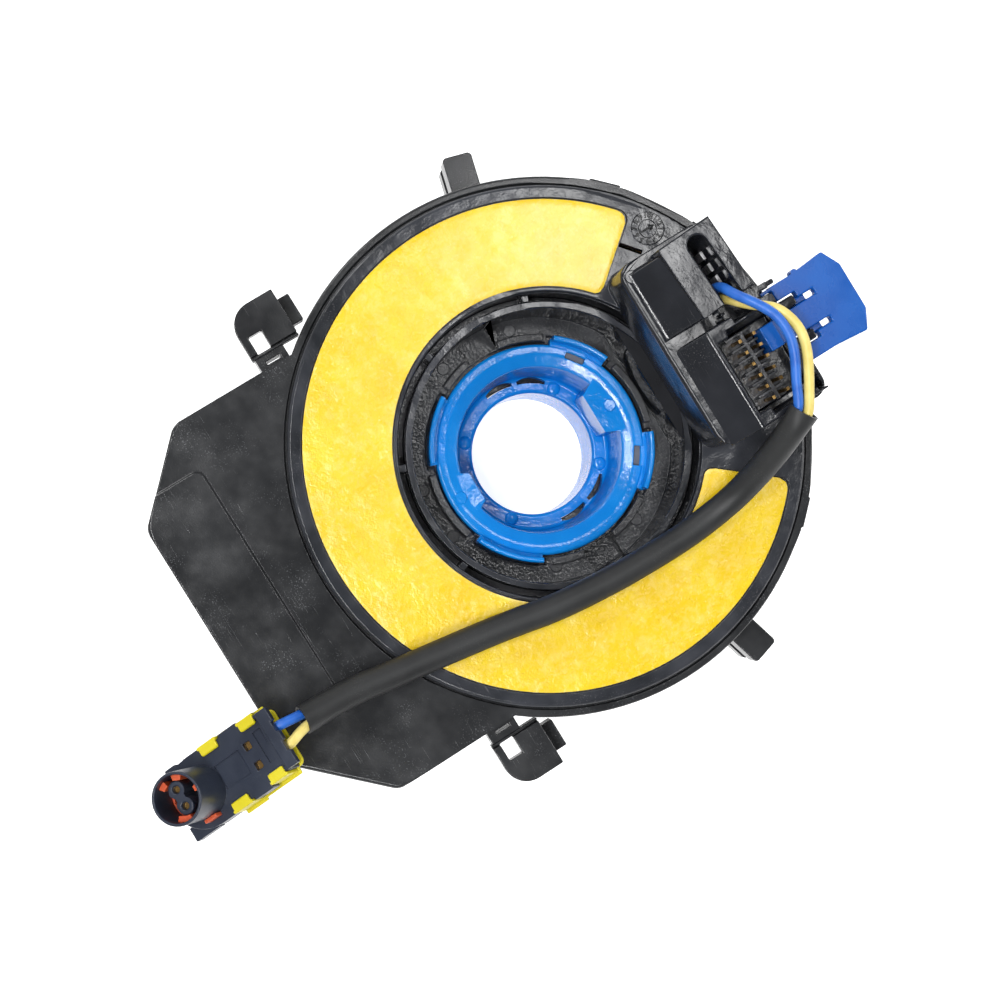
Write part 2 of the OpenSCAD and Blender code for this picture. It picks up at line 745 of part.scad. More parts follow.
// Shipping lock: plate, legs, spring tongue with its hook, and the tooth below
module shipping_lock() {
    end_y = tower_d + 15.8;
    plate_y = end_y - lock_len - 1.6;
    half = lock_w / 2;
    leg_y = tower_d + 0.6;
    leg_out = 8.4;
    slit = 1.2;
    t2 = tongue_w / 2;
    hook_y = wall_back - 5;
    color(deep_blue)
        at_tower() translate([lock_x, 0, 0]) {
            difference() {
                translate([0, 0, lock_z0])
                    linear_extrude(lock_t)
                        polygon([[-leg_out, leg_y], [-leg_out, end_y - lock_len],
                            [-half, end_y - 2.1], [-half + 4, end_y], [half - 4, end_y],
                            [half, end_y - 2.1], [leg_out, end_y - lock_len], [leg_out, leg_y],
                            [leg_in, leg_y], [leg_in, plate_y], [-leg_in, plate_y], [-leg_in, leg_y]]);
                for (side = [-1, 1])
                    block([side * (t2 + slit / 2) - slit / 2, plate_y - 1, lock_z0 - 1],
                        [side * (t2 + slit / 2) + slit / 2, plate_y + 3.6, lock_z1 + 1]);
            }
            block([-t2, hook_y + 1.2, lock_z0], [t2, plate_y + 0.5, lock_z1]);
            block([-t2, hook_y, lock_z0], [t2, hook_y + 3.1, disc_z + 13]);
            block([-8.3, leg_y - 2.4, lock_z0], [-7.6, leg_y + 0.5, lock_z1]);
            block([-4.2, tower_d + 4, disc_z], [4.2, tower_d + 6.6, lock_z0 + 0.4]);
            translate([-leg_out, tower_d + 6.6, lock_z0]) cylinder(r = 0.7, h = lock_t, $fn = 32);
        }
}

// Cords: rings carried along a path and joined into one closed skin
function unit(v) = v / norm(v);
function tangent(p, i) = unit(p[min(i + 1, len(p) - 1)] - p[max(i - 1, 0)]);
function carry(p, i, u) = i >= len(p) ? [] :
    let (t = tangent(p, i), v = unit(u - (u * t) * t)) concat([v], carry(p, i + 1, v));
function rings(p, r, n) =
    let (sides = carry(p, 0, [0.3, 0.2, 1]))
    [for (i = [0:len(p) - 1]) let (v = sides[i], w = cross(tangent(p, i), v))
        for (j = [0:n - 1]) p[i] + r * (cos(360 * j / n) * v + sin(360 * j / n) * w)];
function skin(m, n, k) = [for (i = [0:m - 2], j = [0:n - 1])
    [k + i * n + j, k + (i + 1) * n + j, k + (i + 1) * n + (j + 1) % n, k + i * n + (j + 1) % n]];
function inside_out(faces) = [for (f = faces) [f[3], f[2], f[1], f[0]]];

module cord(path, r, n) {
    m = len(path);
    polyhedron(rings(path, r, n), concat(skin(m, n, 0), [[for (j = [0:n - 1]) j]],
        [[for (j = [n - 1:-1:0]) (m - 1) * n + j]]));
}

module hollow_cord(path, r_out, r_in, n) {
    m = len(path);
    k = m * n;
    e = k - n;
    polyhedron(concat(rings(path, r_out, n), rings(path, r_in, n)),
        concat(skin(m, n, 0), inside_out(skin(m, n, k)),
            [for (j = [0:n - 1]) [j, (j + 1) % n, k + (j + 1) % n, k + j]],
            [for (j = [0:n - 1]) [e + (j + 1) % n, e + j, k + e + j, k + e + (j + 1) % n]]));
}

// Route of the airbag lead over the rotor plate, chosen by hand
sleeve_path = [[19.9, 42, 57], [21.4, 39.3, 55.5], [23.9, 34.9, 51.5], [26, 30.5, 47.5],
    [27.8, 25.4, 44], [28.9, 19.7, 42], [29.5, 12.8, 41.2], [29.5, 4.7, 41], [29.1, -4.4, 41],
    [27.8, -16.4, 41], [25.4, -28.3, 41], [23.4, -40, 41.2], [21.7, -50.7, 42],
    [20.5, -57.3, 42.9], [19.8, -64, 44.2], [19.5, -70.2, 46]];
blue_start = [[-9.3, 42, 49], [-8.9, 42.1, 53.2], [-6.6, 42.2, 56.3], [-4.3, 43.5, 57.8],
    [-1.7, 45, 58.7], [1.2, 46.4, 59.2], [4.5, 46.8, 59.3], [7.9, 46.3, 59], [11.3, 44.9, 58.4],
    [15, 43, 57.6]];
yellow_start = [[-6.9, 42.1, 48], [-6.2, 42.4, 51.6], [-4.6, 43, 54.2], [-2.5, 44.8, 56.1],
    [-0.8, 46.9, 57], [0.9, 48.2, 57.8], [4.1, 49.1, 58.5], [7.4, 49.1, 58.8], [11.3, 47.7, 58.7],
    [15.1, 45.7, 58.2], [18.2, 44, 57.5]];
blue_end = [[17.8, -73.9, 47.1], [17.9, -76, 46.4], [18.1, -78.7, 45.4]];
yellow_end = [[21.8, -73.9, 48], [22, -76, 47.3], [22.2, -78.7, 46.3]];

// The sleeve's path moved sideways, for one of the two wires inside it
function beside(p, d) = [for (i = [0:len(p) - 1])
    p[i] + d * unit(cross(tangent(p, i), [0, 0, 1]))];
wire_offset = wire_d / 2 + 0.05;

module wire_blue() {
    color([0.24, 0.4, 0.76])
        cord(concat(blue_start, beside(sleeve_path, wire_offset), blue_end), wire_d / 2, 8);
}

module wire_yellow() {
    color([0.85, 0.8, 0.38])
        cord(concat(yellow_start, beside(sleeve_path, -wire_offset), yellow_end), wire_d / 2, 8);
}

module harness_sleeve() {
    color([0.2, 0.2, 0.2])
        hollow_cord(sleeve_path, sleeve_d / 2, sleeve_d / 2 - sleeve_wall, 12);
}

// Squib connector, drawn in a frame of its own: x across, +y to the wire end, z out of its top
// face, with the origin in the middle of the top face's wire end
conn_at = [19.6, -75.75, 48.4];
wire_x = 2.1;
nose_x = 1.75;
half_w = plug_w / 2;
neck_w = half_w - 0.5;
round_r = half_w + 0.4;
shoulder_r = half_w + 0.5;
mouth_r = barrel_r - 0.6;
mouth_floor = barrel_len - 8;
clip_t = 0.6;

module in_plug_frame() {
    translate(conn_at)
        rotate([plug_droop, -plug_roll, 0])
            children();
}

module nose(grow, top) {
    for (side = [-1, 1])
        translate([side * nose_x, -plug_len, mouth_floor - 0.5])
            cylinder(r = 1.7 + grow, h = top - mouth_floor + 0.5, $fn = 32);
    block([-nose_x, -plug_len - 1 - grow, mouth_floor - 0.5], [nose_x, -plug_len + 1 + grow, top]);
}

module plug_contact(side) {
    x = side * wire_x;
    block([x - 0.8, -6.9, -2.2], [x + 0.8, -5.5, -1.4]);
    block([x - 0.5, -plug_len - 0.5, -2.2], [x + 0.5, -5.6, -1.6]);
    translate([side * nose_x, -plug_len, -2])
        cylinder(r = 0.7, h = barrel_len - 1, $fn = 32);
}

module connector_body() {
    color(slate)
        in_plug_frame() {
            difference() {
                union() {
                    block([-neck_w, -10, -plug_t], [neck_w, -0.8, 0]);
                    block([-half_w, -plug_len, -plug_t], [half_w, -9.9, 0]);
                    block([-shoulder_r, -10.4, -plug_t + 0.8], [shoulder_r, -5.9, 0]);
                    block([-shoulder_r, -plug_len, -plug_t + 0.8], [shoulder_r, -15.2, 0]);
                    translate([0, -plug_len, -plug_t]) cylinder(r = round_r, h = plug_t);
                    translate([0, -plug_len, -0.5]) cylinder(r = barrel_r, h = barrel_len + 0.5);
                    // Latch arms beside the barrel
                    block([4.2, -25.8, -plug_t + 0.4], [shoulder_r, -20, -1.4]);
                    block([-shoulder_r - 0.5, -24.3, -plug_t + 0.4], [-5.5, -21.6, -1.4]);
                }
                translate([0, -plug_len, mouth_floor]) cylinder(r = mouth_r, h = through);
                for (side = [-1, 1]) {
                    translate([side * wire_x, 0, -1.4])
                        rotate([90, 0, 0])
                            cylinder(r = wire_d / 2 + 0.1, h = 4, $fn = 32);
                    block([side * wire_x - 0.8, -6.9, -1.5], [side * wire_x + 0.8, -5.5, 1]);
                    plug_contact(side);
                }
                block([-3.6, -4, -0.3], [3, -2.3, 1]);
                block([-2.6, -14.1, -0.3], [2.5, -8.3, 1]);
            }
            difference() {
                nose(0, barrel_len - 1.8);
                for (side = [-1, 1])
                    plug_contact(side);
                for (side = [-1, 1])
                    translate([side * nose_x, -plug_len, 5])
                        cylinder(r = 0.7, h = through, $fn = 32);
            }
        }
}

module connector_contacts() {
    color(brass)
        in_plug_frame()
            for (side = [-1, 1])
                plug_contact(side);
}

// Strain cover over the wire end, notched for the two wires
module connector_cover() {
    color(slate)
        in_plug_frame()
            difference() {
                union() {
                    block([-6.1, -1.2, 0], [6.1, 1.4, 1.4]);
                    block([-6.1, -1.9, 0], [-5.3, -1.2, 1]);
                    block([5.3, -1.9, 0], [6.1, -1.2, 1]);
                }
                for (x = [-wire_x, wire_x])
                    block([x - 1.1, 0.9, -1], [x + 1.1, 2, 2]);
            }
}

// Yellow clip: tray below the body, and four tabs that fold up and over its top. Each tab is
// given by its two ends in y and by the half width of the body there.
clip_tabs = [[-5.8, -1.7, neck_w], [-15.1, -10.6, half_w]];

module connector_clip() {
    low = -plug_t - clip_t;
    color(yellow)
        in_plug_frame() {
            block([-neck_w - 1.3, -9.9, low], [neck_w + 1.3, -1.3, -plug_t]);
            round_block([-neck_w, -4, low], [neck_w, 0.3, -plug_t], 1.2);
            block([-half_w - 1.3, -15.1, low], [half_w + 1.3, -9.9, -plug_t]);
            block([2.6, -26.4, low], [5.4, -15, -plug_t]);
            for (side = [0, 1])
                mirror([side, 0, 0])
                    for (t = clip_tabs) {
                        block([t[2], t[0], low], [t[2] + clip_t, t[1], clip_t + 0.3]);
                        block([t[2] - 1.5, t[0] + 0.3, 0], [t[2] + clip_t, t[1] - 0.3, clip_t + 0.3]);
                    }
        }
}

// Orange insert in the mouth, with lugs round the nose, and its key beside the barrel
module connector_insert() {
    color([0.8, 0.36, 0.2])
        in_plug_frame() {
            difference() {
                translate([0, -plug_len, 0]) {
                    annulus(mouth_r - 0.5, mouth_r, mouth_floor, mouth_floor + 1);
                    for (a = [[145, 172], [80, 98], [-38, 2], [196, 218]])
                        arc_block(mouth_r - 1.2, mouth_r, a[0], a[1], mouth_floor, barrel_len - 1.5);
                }
                nose(0.05, barrel_len);
            }
            block([barrel_r, -plug_len - 1.4, 0], [barrel_r + 0.7, -plug_len + 1.4, 2.4]);
        }
}

housing();
back_cover();
airbag_header();
airbag_header_pins();
switch_header();
switch_header_pins();
ribbon_outer_block();
ribbon_cable();
rotor_cover();
rotor_hub();
retainer();
hub_ring();
ribbon_inner_block();
socket_insert();
switch_pins();
squib_contacts();
label();
shipping_lock();
wire_blue();
wire_yellow();
harness_sleeve();
connector_body();
connector_cover();
connector_clip();
connector_insert();
connector_contacts();
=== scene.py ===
# %% [markdown]
# # Steering clock spring
# A clock spring carries the wires of the airbag and the wheel's switches from the steering
# column to the wheel. Its black rotor turns on a round housing, a blue ring sits in the hub,
# a yellow label covers the rotor, and a sleeved lead ends in a small plug.
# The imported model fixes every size. This script gives the pieces their finish.

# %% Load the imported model
import bpy
import bmesh
import math
from mathutils import Matrix, Vector, noise
from mathutils.bvhtree import BVHTree
from mathutils.kdtree import KDTree


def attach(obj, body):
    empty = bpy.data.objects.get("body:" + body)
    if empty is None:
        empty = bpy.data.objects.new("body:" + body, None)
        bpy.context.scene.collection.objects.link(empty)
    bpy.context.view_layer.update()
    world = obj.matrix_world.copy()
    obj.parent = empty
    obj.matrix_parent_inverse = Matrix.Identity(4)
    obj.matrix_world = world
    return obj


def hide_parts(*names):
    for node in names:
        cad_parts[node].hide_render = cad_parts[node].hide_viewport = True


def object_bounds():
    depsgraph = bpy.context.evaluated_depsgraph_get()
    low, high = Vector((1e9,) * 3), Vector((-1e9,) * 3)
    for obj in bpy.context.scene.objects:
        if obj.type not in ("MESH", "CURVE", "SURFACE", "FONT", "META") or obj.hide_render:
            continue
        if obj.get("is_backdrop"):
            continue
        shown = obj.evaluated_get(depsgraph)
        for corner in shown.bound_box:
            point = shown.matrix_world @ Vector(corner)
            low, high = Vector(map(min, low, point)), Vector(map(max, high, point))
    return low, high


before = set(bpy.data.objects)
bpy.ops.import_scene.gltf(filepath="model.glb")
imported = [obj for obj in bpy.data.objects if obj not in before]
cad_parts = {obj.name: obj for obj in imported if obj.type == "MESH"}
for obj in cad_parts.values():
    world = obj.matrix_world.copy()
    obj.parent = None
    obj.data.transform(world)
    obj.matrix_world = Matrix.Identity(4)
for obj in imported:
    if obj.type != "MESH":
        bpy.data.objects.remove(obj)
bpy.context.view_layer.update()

mm = 0.001
scene = bpy.context.scene

# %% Small helpers for meshes and objects
def mesh_of(bm, name):
    """A mesh made from a bmesh, which is used up."""
    mesh = bpy.data.meshes.new(name)
    bm.to_mesh(mesh)
    bm.free()
    return mesh

def placed(name, data):
    """An object with the given data, linked to the scene."""
    made = bpy.data.objects.new(name, data)
    scene.collection.objects.link(made)
    return made

def applied(piece):
    """The piece's mesh as its modifiers leave it."""
    seen = piece.evaluated_get(bpy.context.evaluated_depsgraph_get())
    return bpy.data.meshes.new_from_object(seen)

# %% [markdown]
# ## Camera
# The photograph looks down on the part from a short distance, a little tilted. The camera's
# place and turn were fitted to the part's known sizes, so it stands exactly there. Blender
# wants a matrix whose columns are the camera's right, up and back directions.

# %% Camera
frame_px = 1000
focal_px = 1677.36
sensor_mm = 36
cam_at = Vector((-6.186, -61.093, 368)) * mm
cam_right = Vector((0.52486126, 0.84054293, 0.13419478))
cam_up = Vector((-0.85063561, 0.523639, 0.04713015))
cam_back = Vector((-0.03065471, -0.13888764, 0.98983358))
camera_data = bpy.data.cameras.new("camera")
camera_data.sensor_width = sensor_mm
camera_data.lens = sensor_mm * focal_px / frame_px
camera_data.clip_start = 0.01
camera_data.clip_end = 20
camera = placed("camera", camera_data)
camera.matrix_world = Matrix.Translation(cam_at) @ Matrix(
    (cam_right, cam_up, cam_back)).transposed().to_4x4()
scene.camera = camera
scene.view_settings.view_transform = "Standard"
print("lens", round(camera_data.lens, 2), "mm")

# %% [markdown]
# ## Nodes in a few words
# A procedural finish is a small graph of nodes. A few helpers keep the cells short: they add a
# node, feed its sockets, do a sum, or make a noise or a bump, and new_skin starts a
# material with a Principled surface. Lengths in patterns are given in millimetres, because a
# pattern's scale is one over its size. Colours are in steps of 0 to 255, as read off a picture.

# %% Node helpers
def feed(socket, value):
    """Gives a socket a value, or joins it to the socket given for it."""
    if isinstance(value, bpy.types.NodeSocket):
        socket.id_data.links.new(value, socket)
    else:
        socket.default_value = value

def put(node, **settings):
    """Sets a node's own settings, and feeds its sockets by name, with _ for a space."""
    for key, value in settings.items():
        if hasattr(node, key):
            setattr(node, key, value)
        else:
            feed(node.inputs[key.replace("_", " ")], value)

def add(tree, kind, **settings):
    """A new node with its settings."""
    made = tree.nodes.new(kind)
    put(made, **settings)
    return made

def sums(tree, operation, *values):
    """A Math node on sockets or plain numbers."""
    made = add(tree, "ShaderNodeMath", operation=operation)
    for socket, value in zip(made.inputs, values):
        feed(socket, value)
    return made.outputs[0]

def ramp(tree, value, low, high, to_low=0.0, to_high=1.0):
    """Maps a value from low..high to to_low..to_high, clamped."""
    return add(tree, "ShaderNodeMapRange", Value=value, From_Min=low, From_Max=high,
               To_Min=to_low, To_Max=to_high).outputs["Result"]

def tint(tree, mask, a, b):
    """Mixes two colours by a mask. Each may be a colour or a socket."""
    made = add(tree, "ShaderNodeMix", data_type="RGBA", Factor=mask)
    for i, value in ((6, a), (7, b)):
        feed(made.inputs[i], (*value, 1) if isinstance(value, tuple) else value)
    return made.outputs[2]

def speckle(tree, place, size_mm, detail=2.0, roughness=0.5):
    """Noise whose blobs are about size_mm across."""
    return add(tree, "ShaderNodeTexNoise", Vector=place, Scale=1 / (size_mm * mm),
               Detail=detail, Roughness=roughness).outputs["Fac"]

streak_depth, streak_edge, streak_bend = 300, 0.05, 0.25

def streaks(tree, place, width_mm, length_mm, turn, keep):
    """Fine scratches: noise stretched along one direction, of which only the peaks stay."""
    stretch = add(tree, "ShaderNodeMapping", Vector=place, Rotation=(0, 0, math.radians(turn)),
                  Scale=(1 / (length_mm * mm), 1 / (width_mm * mm), streak_depth))
    lines = add(tree, "ShaderNodeTexNoise", Vector=stretch.outputs[0], Scale=1, Detail=1,
                Distortion=streak_bend)
    return ramp(tree, lines.outputs["Fac"], keep, keep + streak_edge)

def bump(tree, height, strength, depth_mm, under=None, **settings):
    """Tilts the surface by a height pattern, on top of the bump under it if there is one."""
    if under is not None:
        settings["Normal"] = under
    return add(tree, "ShaderNodeBump", Height=height, Strength=strength,
               Distance=depth_mm * mm, **settings).outputs[0]

def let_light_in(surface, weight, depths_mm):
    """Lets red, green and blue light sink in by the given millimetres."""
    put(surface, Subsurface_Weight=weight, Subsurface_Scale=1,
        Subsurface_Radius=tuple(d * mm for d in depths_mm))

def new_skin(name):
    """A new material, its tree, its surface and the object coordinates for its patterns."""
    made = bpy.data.materials.new(name)
    made.use_nodes = True
    tree = made.node_tree
    tree.nodes.clear()
    surface = tree.nodes.new("ShaderNodeBsdfPrincipled")
    add(tree, "ShaderNodeOutputMaterial", Surface=surface.outputs[0])
    place = tree.nodes.new("ShaderNodeTexCoord").outputs["Object"]
    return made, tree, surface, place

def srgb(r, g, b):
    """A colour read off in 0..255 steps, as the linear values a shader wants."""
    return tuple(((v / 255 + 0.055) / 1.055) ** 2.4 if v > 10 else v / 3294 for v in (r, g, b))

# %% [markdown]
# ## Moulded plastic
# Nearly everything here is injection-moulded. Such plastic is never one flat colour: the mould
# leaves a fine grain, handling leaves hair scratches, and dust settles in patches. One function
# writes that graph, and each finish below only says how much of each it has. Grain and
# scratches go to the bump, and the same scratches raise the roughness and pale the colour.

# %% Moulded plastic
scratch_runs = ((0.11, 16, 32, 0.75), (0.1, 7, -48, 0.755), (0.09, 11, 77, 0.76))
cloud_mm, patch_mm, speck_mm, smear_mm, wave_mm, worn_mm = 14, 9, 0.3, 7, 6, 18
scratch_depth, wave_depth, grain_share = 0.02, 0.4, 0.4
marks_roughen = 0.12
plastic_ior = 1.45
waxy_depths = (0.4, 0.7, 1.2)

def moulded_plastic(name, colour, pale, rough, grain_mm=0.35, grain=0.15, scratch=0.25,
                    dust=0.3, dust_colour=None, waves=0.0, glow=0.0):
    """The shared finish of all mouldings. Strengths are shares of 1, colours 0..255."""
    made, tree, surface, place = new_skin(name)
    colour, pale = srgb(*colour), srgb(*pale)
    cloud = speckle(tree, place, cloud_mm, 3, 0.6)
    base = tint(tree, ramp(tree, cloud, 0.35, 0.7), colour, pale)
    patch = ramp(tree, speckle(tree, place, patch_mm, 2), 0.5, 0.75)
    specks = ramp(tree, speckle(tree, place, speck_mm, 2), 0.6, 0.72)
    specks = sums(tree, "MULTIPLY", specks, patch)
    lines = None
    for width_mm, length_mm, turn, keep in scratch_runs:
        run = streaks(tree, place, width_mm, length_mm, turn, keep)
        lines = run if lines is None else sums(tree, "MAXIMUM", lines, run)
    worn = ramp(tree, speckle(tree, place, worn_mm, 1), 0.42, 0.62)
    lines = sums(tree, "MULTIPLY", lines, worn)
    marks = sums(tree, "MAXIMUM", sums(tree, "MULTIPLY", specks, dust),
                 sums(tree, "MULTIPLY", lines, scratch))
    grey = srgb(*dust_colour) if dust_colour else tuple(min(1, 0.5 * c + 0.12) for c in pale)
    smear = ramp(tree, speckle(tree, place, smear_mm, 3, 0.65), 0.3, 0.75, rough - 0.05,
                 rough + 0.09)
    relief = bump(tree, speckle(tree, place, grain_mm, 2), grain, grain_mm * grain_share)
    relief = bump(tree, lines, scratch, scratch_depth, relief, invert=True)
    if waves:
        relief = bump(tree, speckle(tree, place, wave_mm, 2), waves, wave_depth, relief)
    put(surface, Base_Color=tint(tree, marks, base, grey), Normal=relief, IOR=plastic_ior,
        Roughness=sums(tree, "MULTIPLY_ADD", marks, marks_roughen, smear))
    if glow:
        let_light_in(surface, glow, waxy_depths)
    return made

# %% The finishes
housing_black = moulded_plastic(
    "housing_black", (34, 35, 37), (50, 51, 53), rough=0.2, grain_mm=0.3, grain=0.15,
    scratch=0.7, dust=0.6, dust_colour=(130, 132, 136), waves=0.05)
rotor_black = moulded_plastic(
    "rotor_black", (36, 38, 42), (60, 62, 68), rough=0.16, grain_mm=0.45, grain=0.15,
    scratch=0.5, dust=0.6, waves=0.6)
tower_black = moulded_plastic(
    "tower_black", (26, 28, 33), (38, 40, 46), rough=0.16, grain_mm=0.5, grain=0.1,
    scratch=0.6, dust=0.8, waves=0.5)
well_black = moulded_plastic(
    "well_black", (44, 45, 48), (80, 81, 84), rough=0.13, grain_mm=0.6, grain=0.6,
    scratch=0.1, dust=0.9, waves=0.6)
glossy_black = moulded_plastic(
    "glossy_black", (24, 25, 28), (32, 33, 37), rough=0.08, grain_mm=0.5, grain=0.05,
    scratch=0.2, dust=0.15, waves=0.3)
# Near black for the date dial's marks: painted shade, the shade that engraved marks hold.
dial_painted_shade = moulded_plastic(
    "dial_painted_shade", (14, 15, 17), (20, 21, 24), rough=0.3, grain_mm=0.3, grain=0.1)
mark_black = moulded_plastic(
    "mark_black", (50, 51, 55), (74, 75, 78), rough=0.25, grain_mm=0.4, grain=0.3)
# Grey for the sheets in the ring's windows: painted shade, the shaded view through them.
window_shade_grey = moulded_plastic(
    "window_shade_grey", (84, 88, 96), (98, 102, 110), rough=0.4, grain_mm=0.5, grain=0.2,
    scratch=0.1, dust=0.1)
hub_blue = moulded_plastic(
    "hub_blue", (8, 122, 208), (16, 136, 222), rough=0.12, grain_mm=0.6, grain=0.2,
    scratch=0.15, dust=0.1, dust_colour=(120, 180, 240), waves=0.5)
lock_blue = moulded_plastic(
    "lock_blue", (4, 74, 158), (12, 90, 176), rough=0.26, grain_mm=0.6, grain=0.05,
    scratch=0.2, dust=0.1, dust_colour=(120, 170, 235))
clip_yellow = moulded_plastic(
    "clip_yellow", (204, 190, 22), (218, 204, 38), rough=0.42, grain_mm=0.4, grain=0.1,
    scratch=0.05, dust=0.08, dust_colour=(250, 246, 180), glow=0.1)
connector_slate = moulded_plastic(
    "connector_slate", (34, 40, 54), (44, 51, 66), rough=0.36, grain_mm=0.25, grain=0.2,
    scratch=0.15, dust=0.2)
insert_orange = moulded_plastic(
    "insert_orange", (190, 72, 38), (214, 96, 56), rough=0.45, grain_mm=0.3, grain=0.2,
    scratch=0.05, dust=0.1, glow=0.1)
sleeve_vinyl = moulded_plastic(
    "sleeve_vinyl", (30, 31, 32), (42, 43, 44), rough=0.5, grain_mm=0.25, grain=0.25,
    scratch=0.15, dust=0.35)
socket_grey = moulded_plastic("socket_grey", (50, 51, 54), (60, 61, 64), rough=0.45)
natural_white = moulded_plastic(
    "natural_white", (206, 204, 194), (220, 218, 208), rough=0.4, glow=0.1)
print("materials", len(bpy.data.materials))

# %% [markdown]
# ## Dressing a moulding
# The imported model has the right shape, but its edges are mathematically sharp, and a real
# moulding has none of those: every edge is rounded by a few tenths of a millimetre and catches
# a line of light. So each moulding is copied, its loose triangles are merged into clean faces,
# and a Bevel modifier rounds its edges. One width for all would be wrong, because a thin rib has
# no room for the radius of an outer edge. So each edge gets a weight of its own: the radius
# wanted at that place, or less where a neighbouring edge or a short side leaves less room.

# %% Limits of the bevel, in millimetres where nothing else is said
weld_gap, flat_degrees = 0.002, 0.3   # closer points are one, flatter creases go
most_faces = 40                       # faces walked round a corner
no_limit = 9
end_share, side_share = 0.85, 0.45    # of the room at an edge's ends and to its side
point_gap, probe_gap = 0.4, 0.6       # between points on an edge, and between looks aside
look_radii, past_end = 2.4, 0.1       # how far an edge looks aside, and past its ends
same_line, same_plane = 0.03, 0.06    # what still counts as on the line or the plane
slope, slope_start = 0.4, 0.03        # how fast the width may grow along an edge
least_width = 0.02
stray_share, stray_start = 0.45, 0.01 # how far a point may leave the surface
sliver_area = 2e-9                    # square metres: smaller triangles aren't judged
turned_over, faces_away = 0.2, -0.3   # cosines
fold_depth = 0.2
spot_reach = 0.6
shares = (0.4, 0.4, 0, 0, 0, 0, 0)    # what is left of a weight after each round

# %% Copy of a node
def merged_copy(node):
    """The node's mesh with its doubles merged and its flat faces joined."""
    bm = bmesh.new()
    bm.from_mesh(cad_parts[node].data)
    bmesh.ops.remove_doubles(bm, verts=bm.verts, dist=weld_gap * mm)
    bmesh.ops.dissolve_limit(bm, angle_limit=math.radians(flat_degrees), verts=bm.verts,
                             edges=bm.edges, use_dissolve_boundaries=False)
    bmesh.ops.recalc_face_normals(bm, faces=bm.faces)
    return bm

# %% Room beside an edge
def corner_angle(loop, forward, sharp):
    """The angle of surface between a sharp edge and the next sharp one round its end."""
    here = loop.link_loop_next if forward else loop
    total = 0
    for _ in range(most_faces):
        total += here.calc_angle()
        ahead = here if forward else here.link_loop_prev
        if ahead.edge in sharp:
            break
        across = ahead.link_loop_radial_next
        here = across.link_loop_next if forward else across
    return total

def room_along(e, sharp):
    """The widest bevel that the edge's own length allows, from the angles at its two ends."""
    room = no_limit
    for loop in e.link_loops:
        ends = (corner_angle(loop, forward, sharp) for forward in (True, False))
        eaten = sum(1 / math.tan(angle / 2) for angle in ends if angle < math.pi)
        if eaten:
            room = min(room, end_share * e.calc_length() / mm / eaten)
    return room

def edge_points(sharp):
    """A search tree of points on the sharp edges, and the edge each one lies on."""
    on = []
    for e in sharp:
        n = int(e.calc_length() / (point_gap * mm)) + 1
        on += [(e, e.verts[0].co.lerp(e.verts[1].co, i / n)) for i in range(n + 1)]
    tree = KDTree(len(on))
    for i, (e, at) in enumerate(on):
        tree.insert(at, i)
    tree.balance()
    return tree, on

def room_across(e, r, tree, on):
    """The bevel r, made less where another edge of the same flat face lies close beside."""
    start, end = e.verts[0].co, e.verts[1].co
    along, length = (end - start).normalized(), (end - start).length
    n = int(length / (probe_gap * mm)) + 1
    for i in range(n + 1):
        for at, index, _ in tree.find_range(start.lerp(end, i / n), look_radii * r * mm):
            other = on[index][0]
            if other is e or other.verts[0] in e.verts or other.verts[1] in e.verts:
                continue
            to = at - start
            s = to.dot(along)
            aside = (to - s * along).length
            beside = aside > same_line * mm and -past_end * mm < s < length + past_end * mm
            if beside and any(abs(to.dot(f.normal)) < same_plane * mm for f in e.link_faces):
                r = min(r, side_share * aside / mm)
    return r

# %% [markdown]
# Even so, a bevel can fold over where many short edges meet. So the result is compared with
# the unbevelled surface: a point that left it or a triangle that turned over marks a bad spot,
# and the edges beside it get a smaller weight, then none, until the mesh is clean.

# %% Bad spots
def bad_spots(mesh, surface, widest):
    """Places where the bevelled mesh left the original surface or folded over."""
    bad = [v.co.copy() for v in mesh.vertices
           if surface.find_nearest(v.co)[3] > (stray_share * widest + stray_start) * mm]
    mesh.calc_loop_triangles()
    for t in mesh.loop_triangles:
        if t.area < sliver_area:
            continue
        middle = sum((mesh.vertices[i].co for i in t.vertices), Vector()) / 3
        _, normal, _, d = surface.find_nearest(middle)
        folded = t.normal.dot(mesh.polygons[t.polygon_index].normal) < turned_over
        if folded or (t.normal.dot(normal) < faces_away and d < fold_depth * mm):
            bad.append(middle)
    return bad

def ease(width, weight, bad, share):
    """Multiplies the weight of every edge near a bad spot. Says how many there were."""
    spots = KDTree(len(bad))
    for i, q in enumerate(bad):
        spots.insert(q, i)
    spots.balance()
    eased = 0
    for e in width:
        start, end = e.verts[0].co, e.verts[1].co
        span = max((end - start).length_squared, 1e-18)
        reach = (end - start).length / 2 + spot_reach * mm
        for q, _, _ in spots.find_range((start + end) / 2, reach):
            s = max(0, min(1, (q - start).dot(end - start) / span))
            if e[weight] > 0 and (start.lerp(end, s) - q).length < spot_reach * mm:
                e[weight] *= share
                eased += 1
                break
    return eased

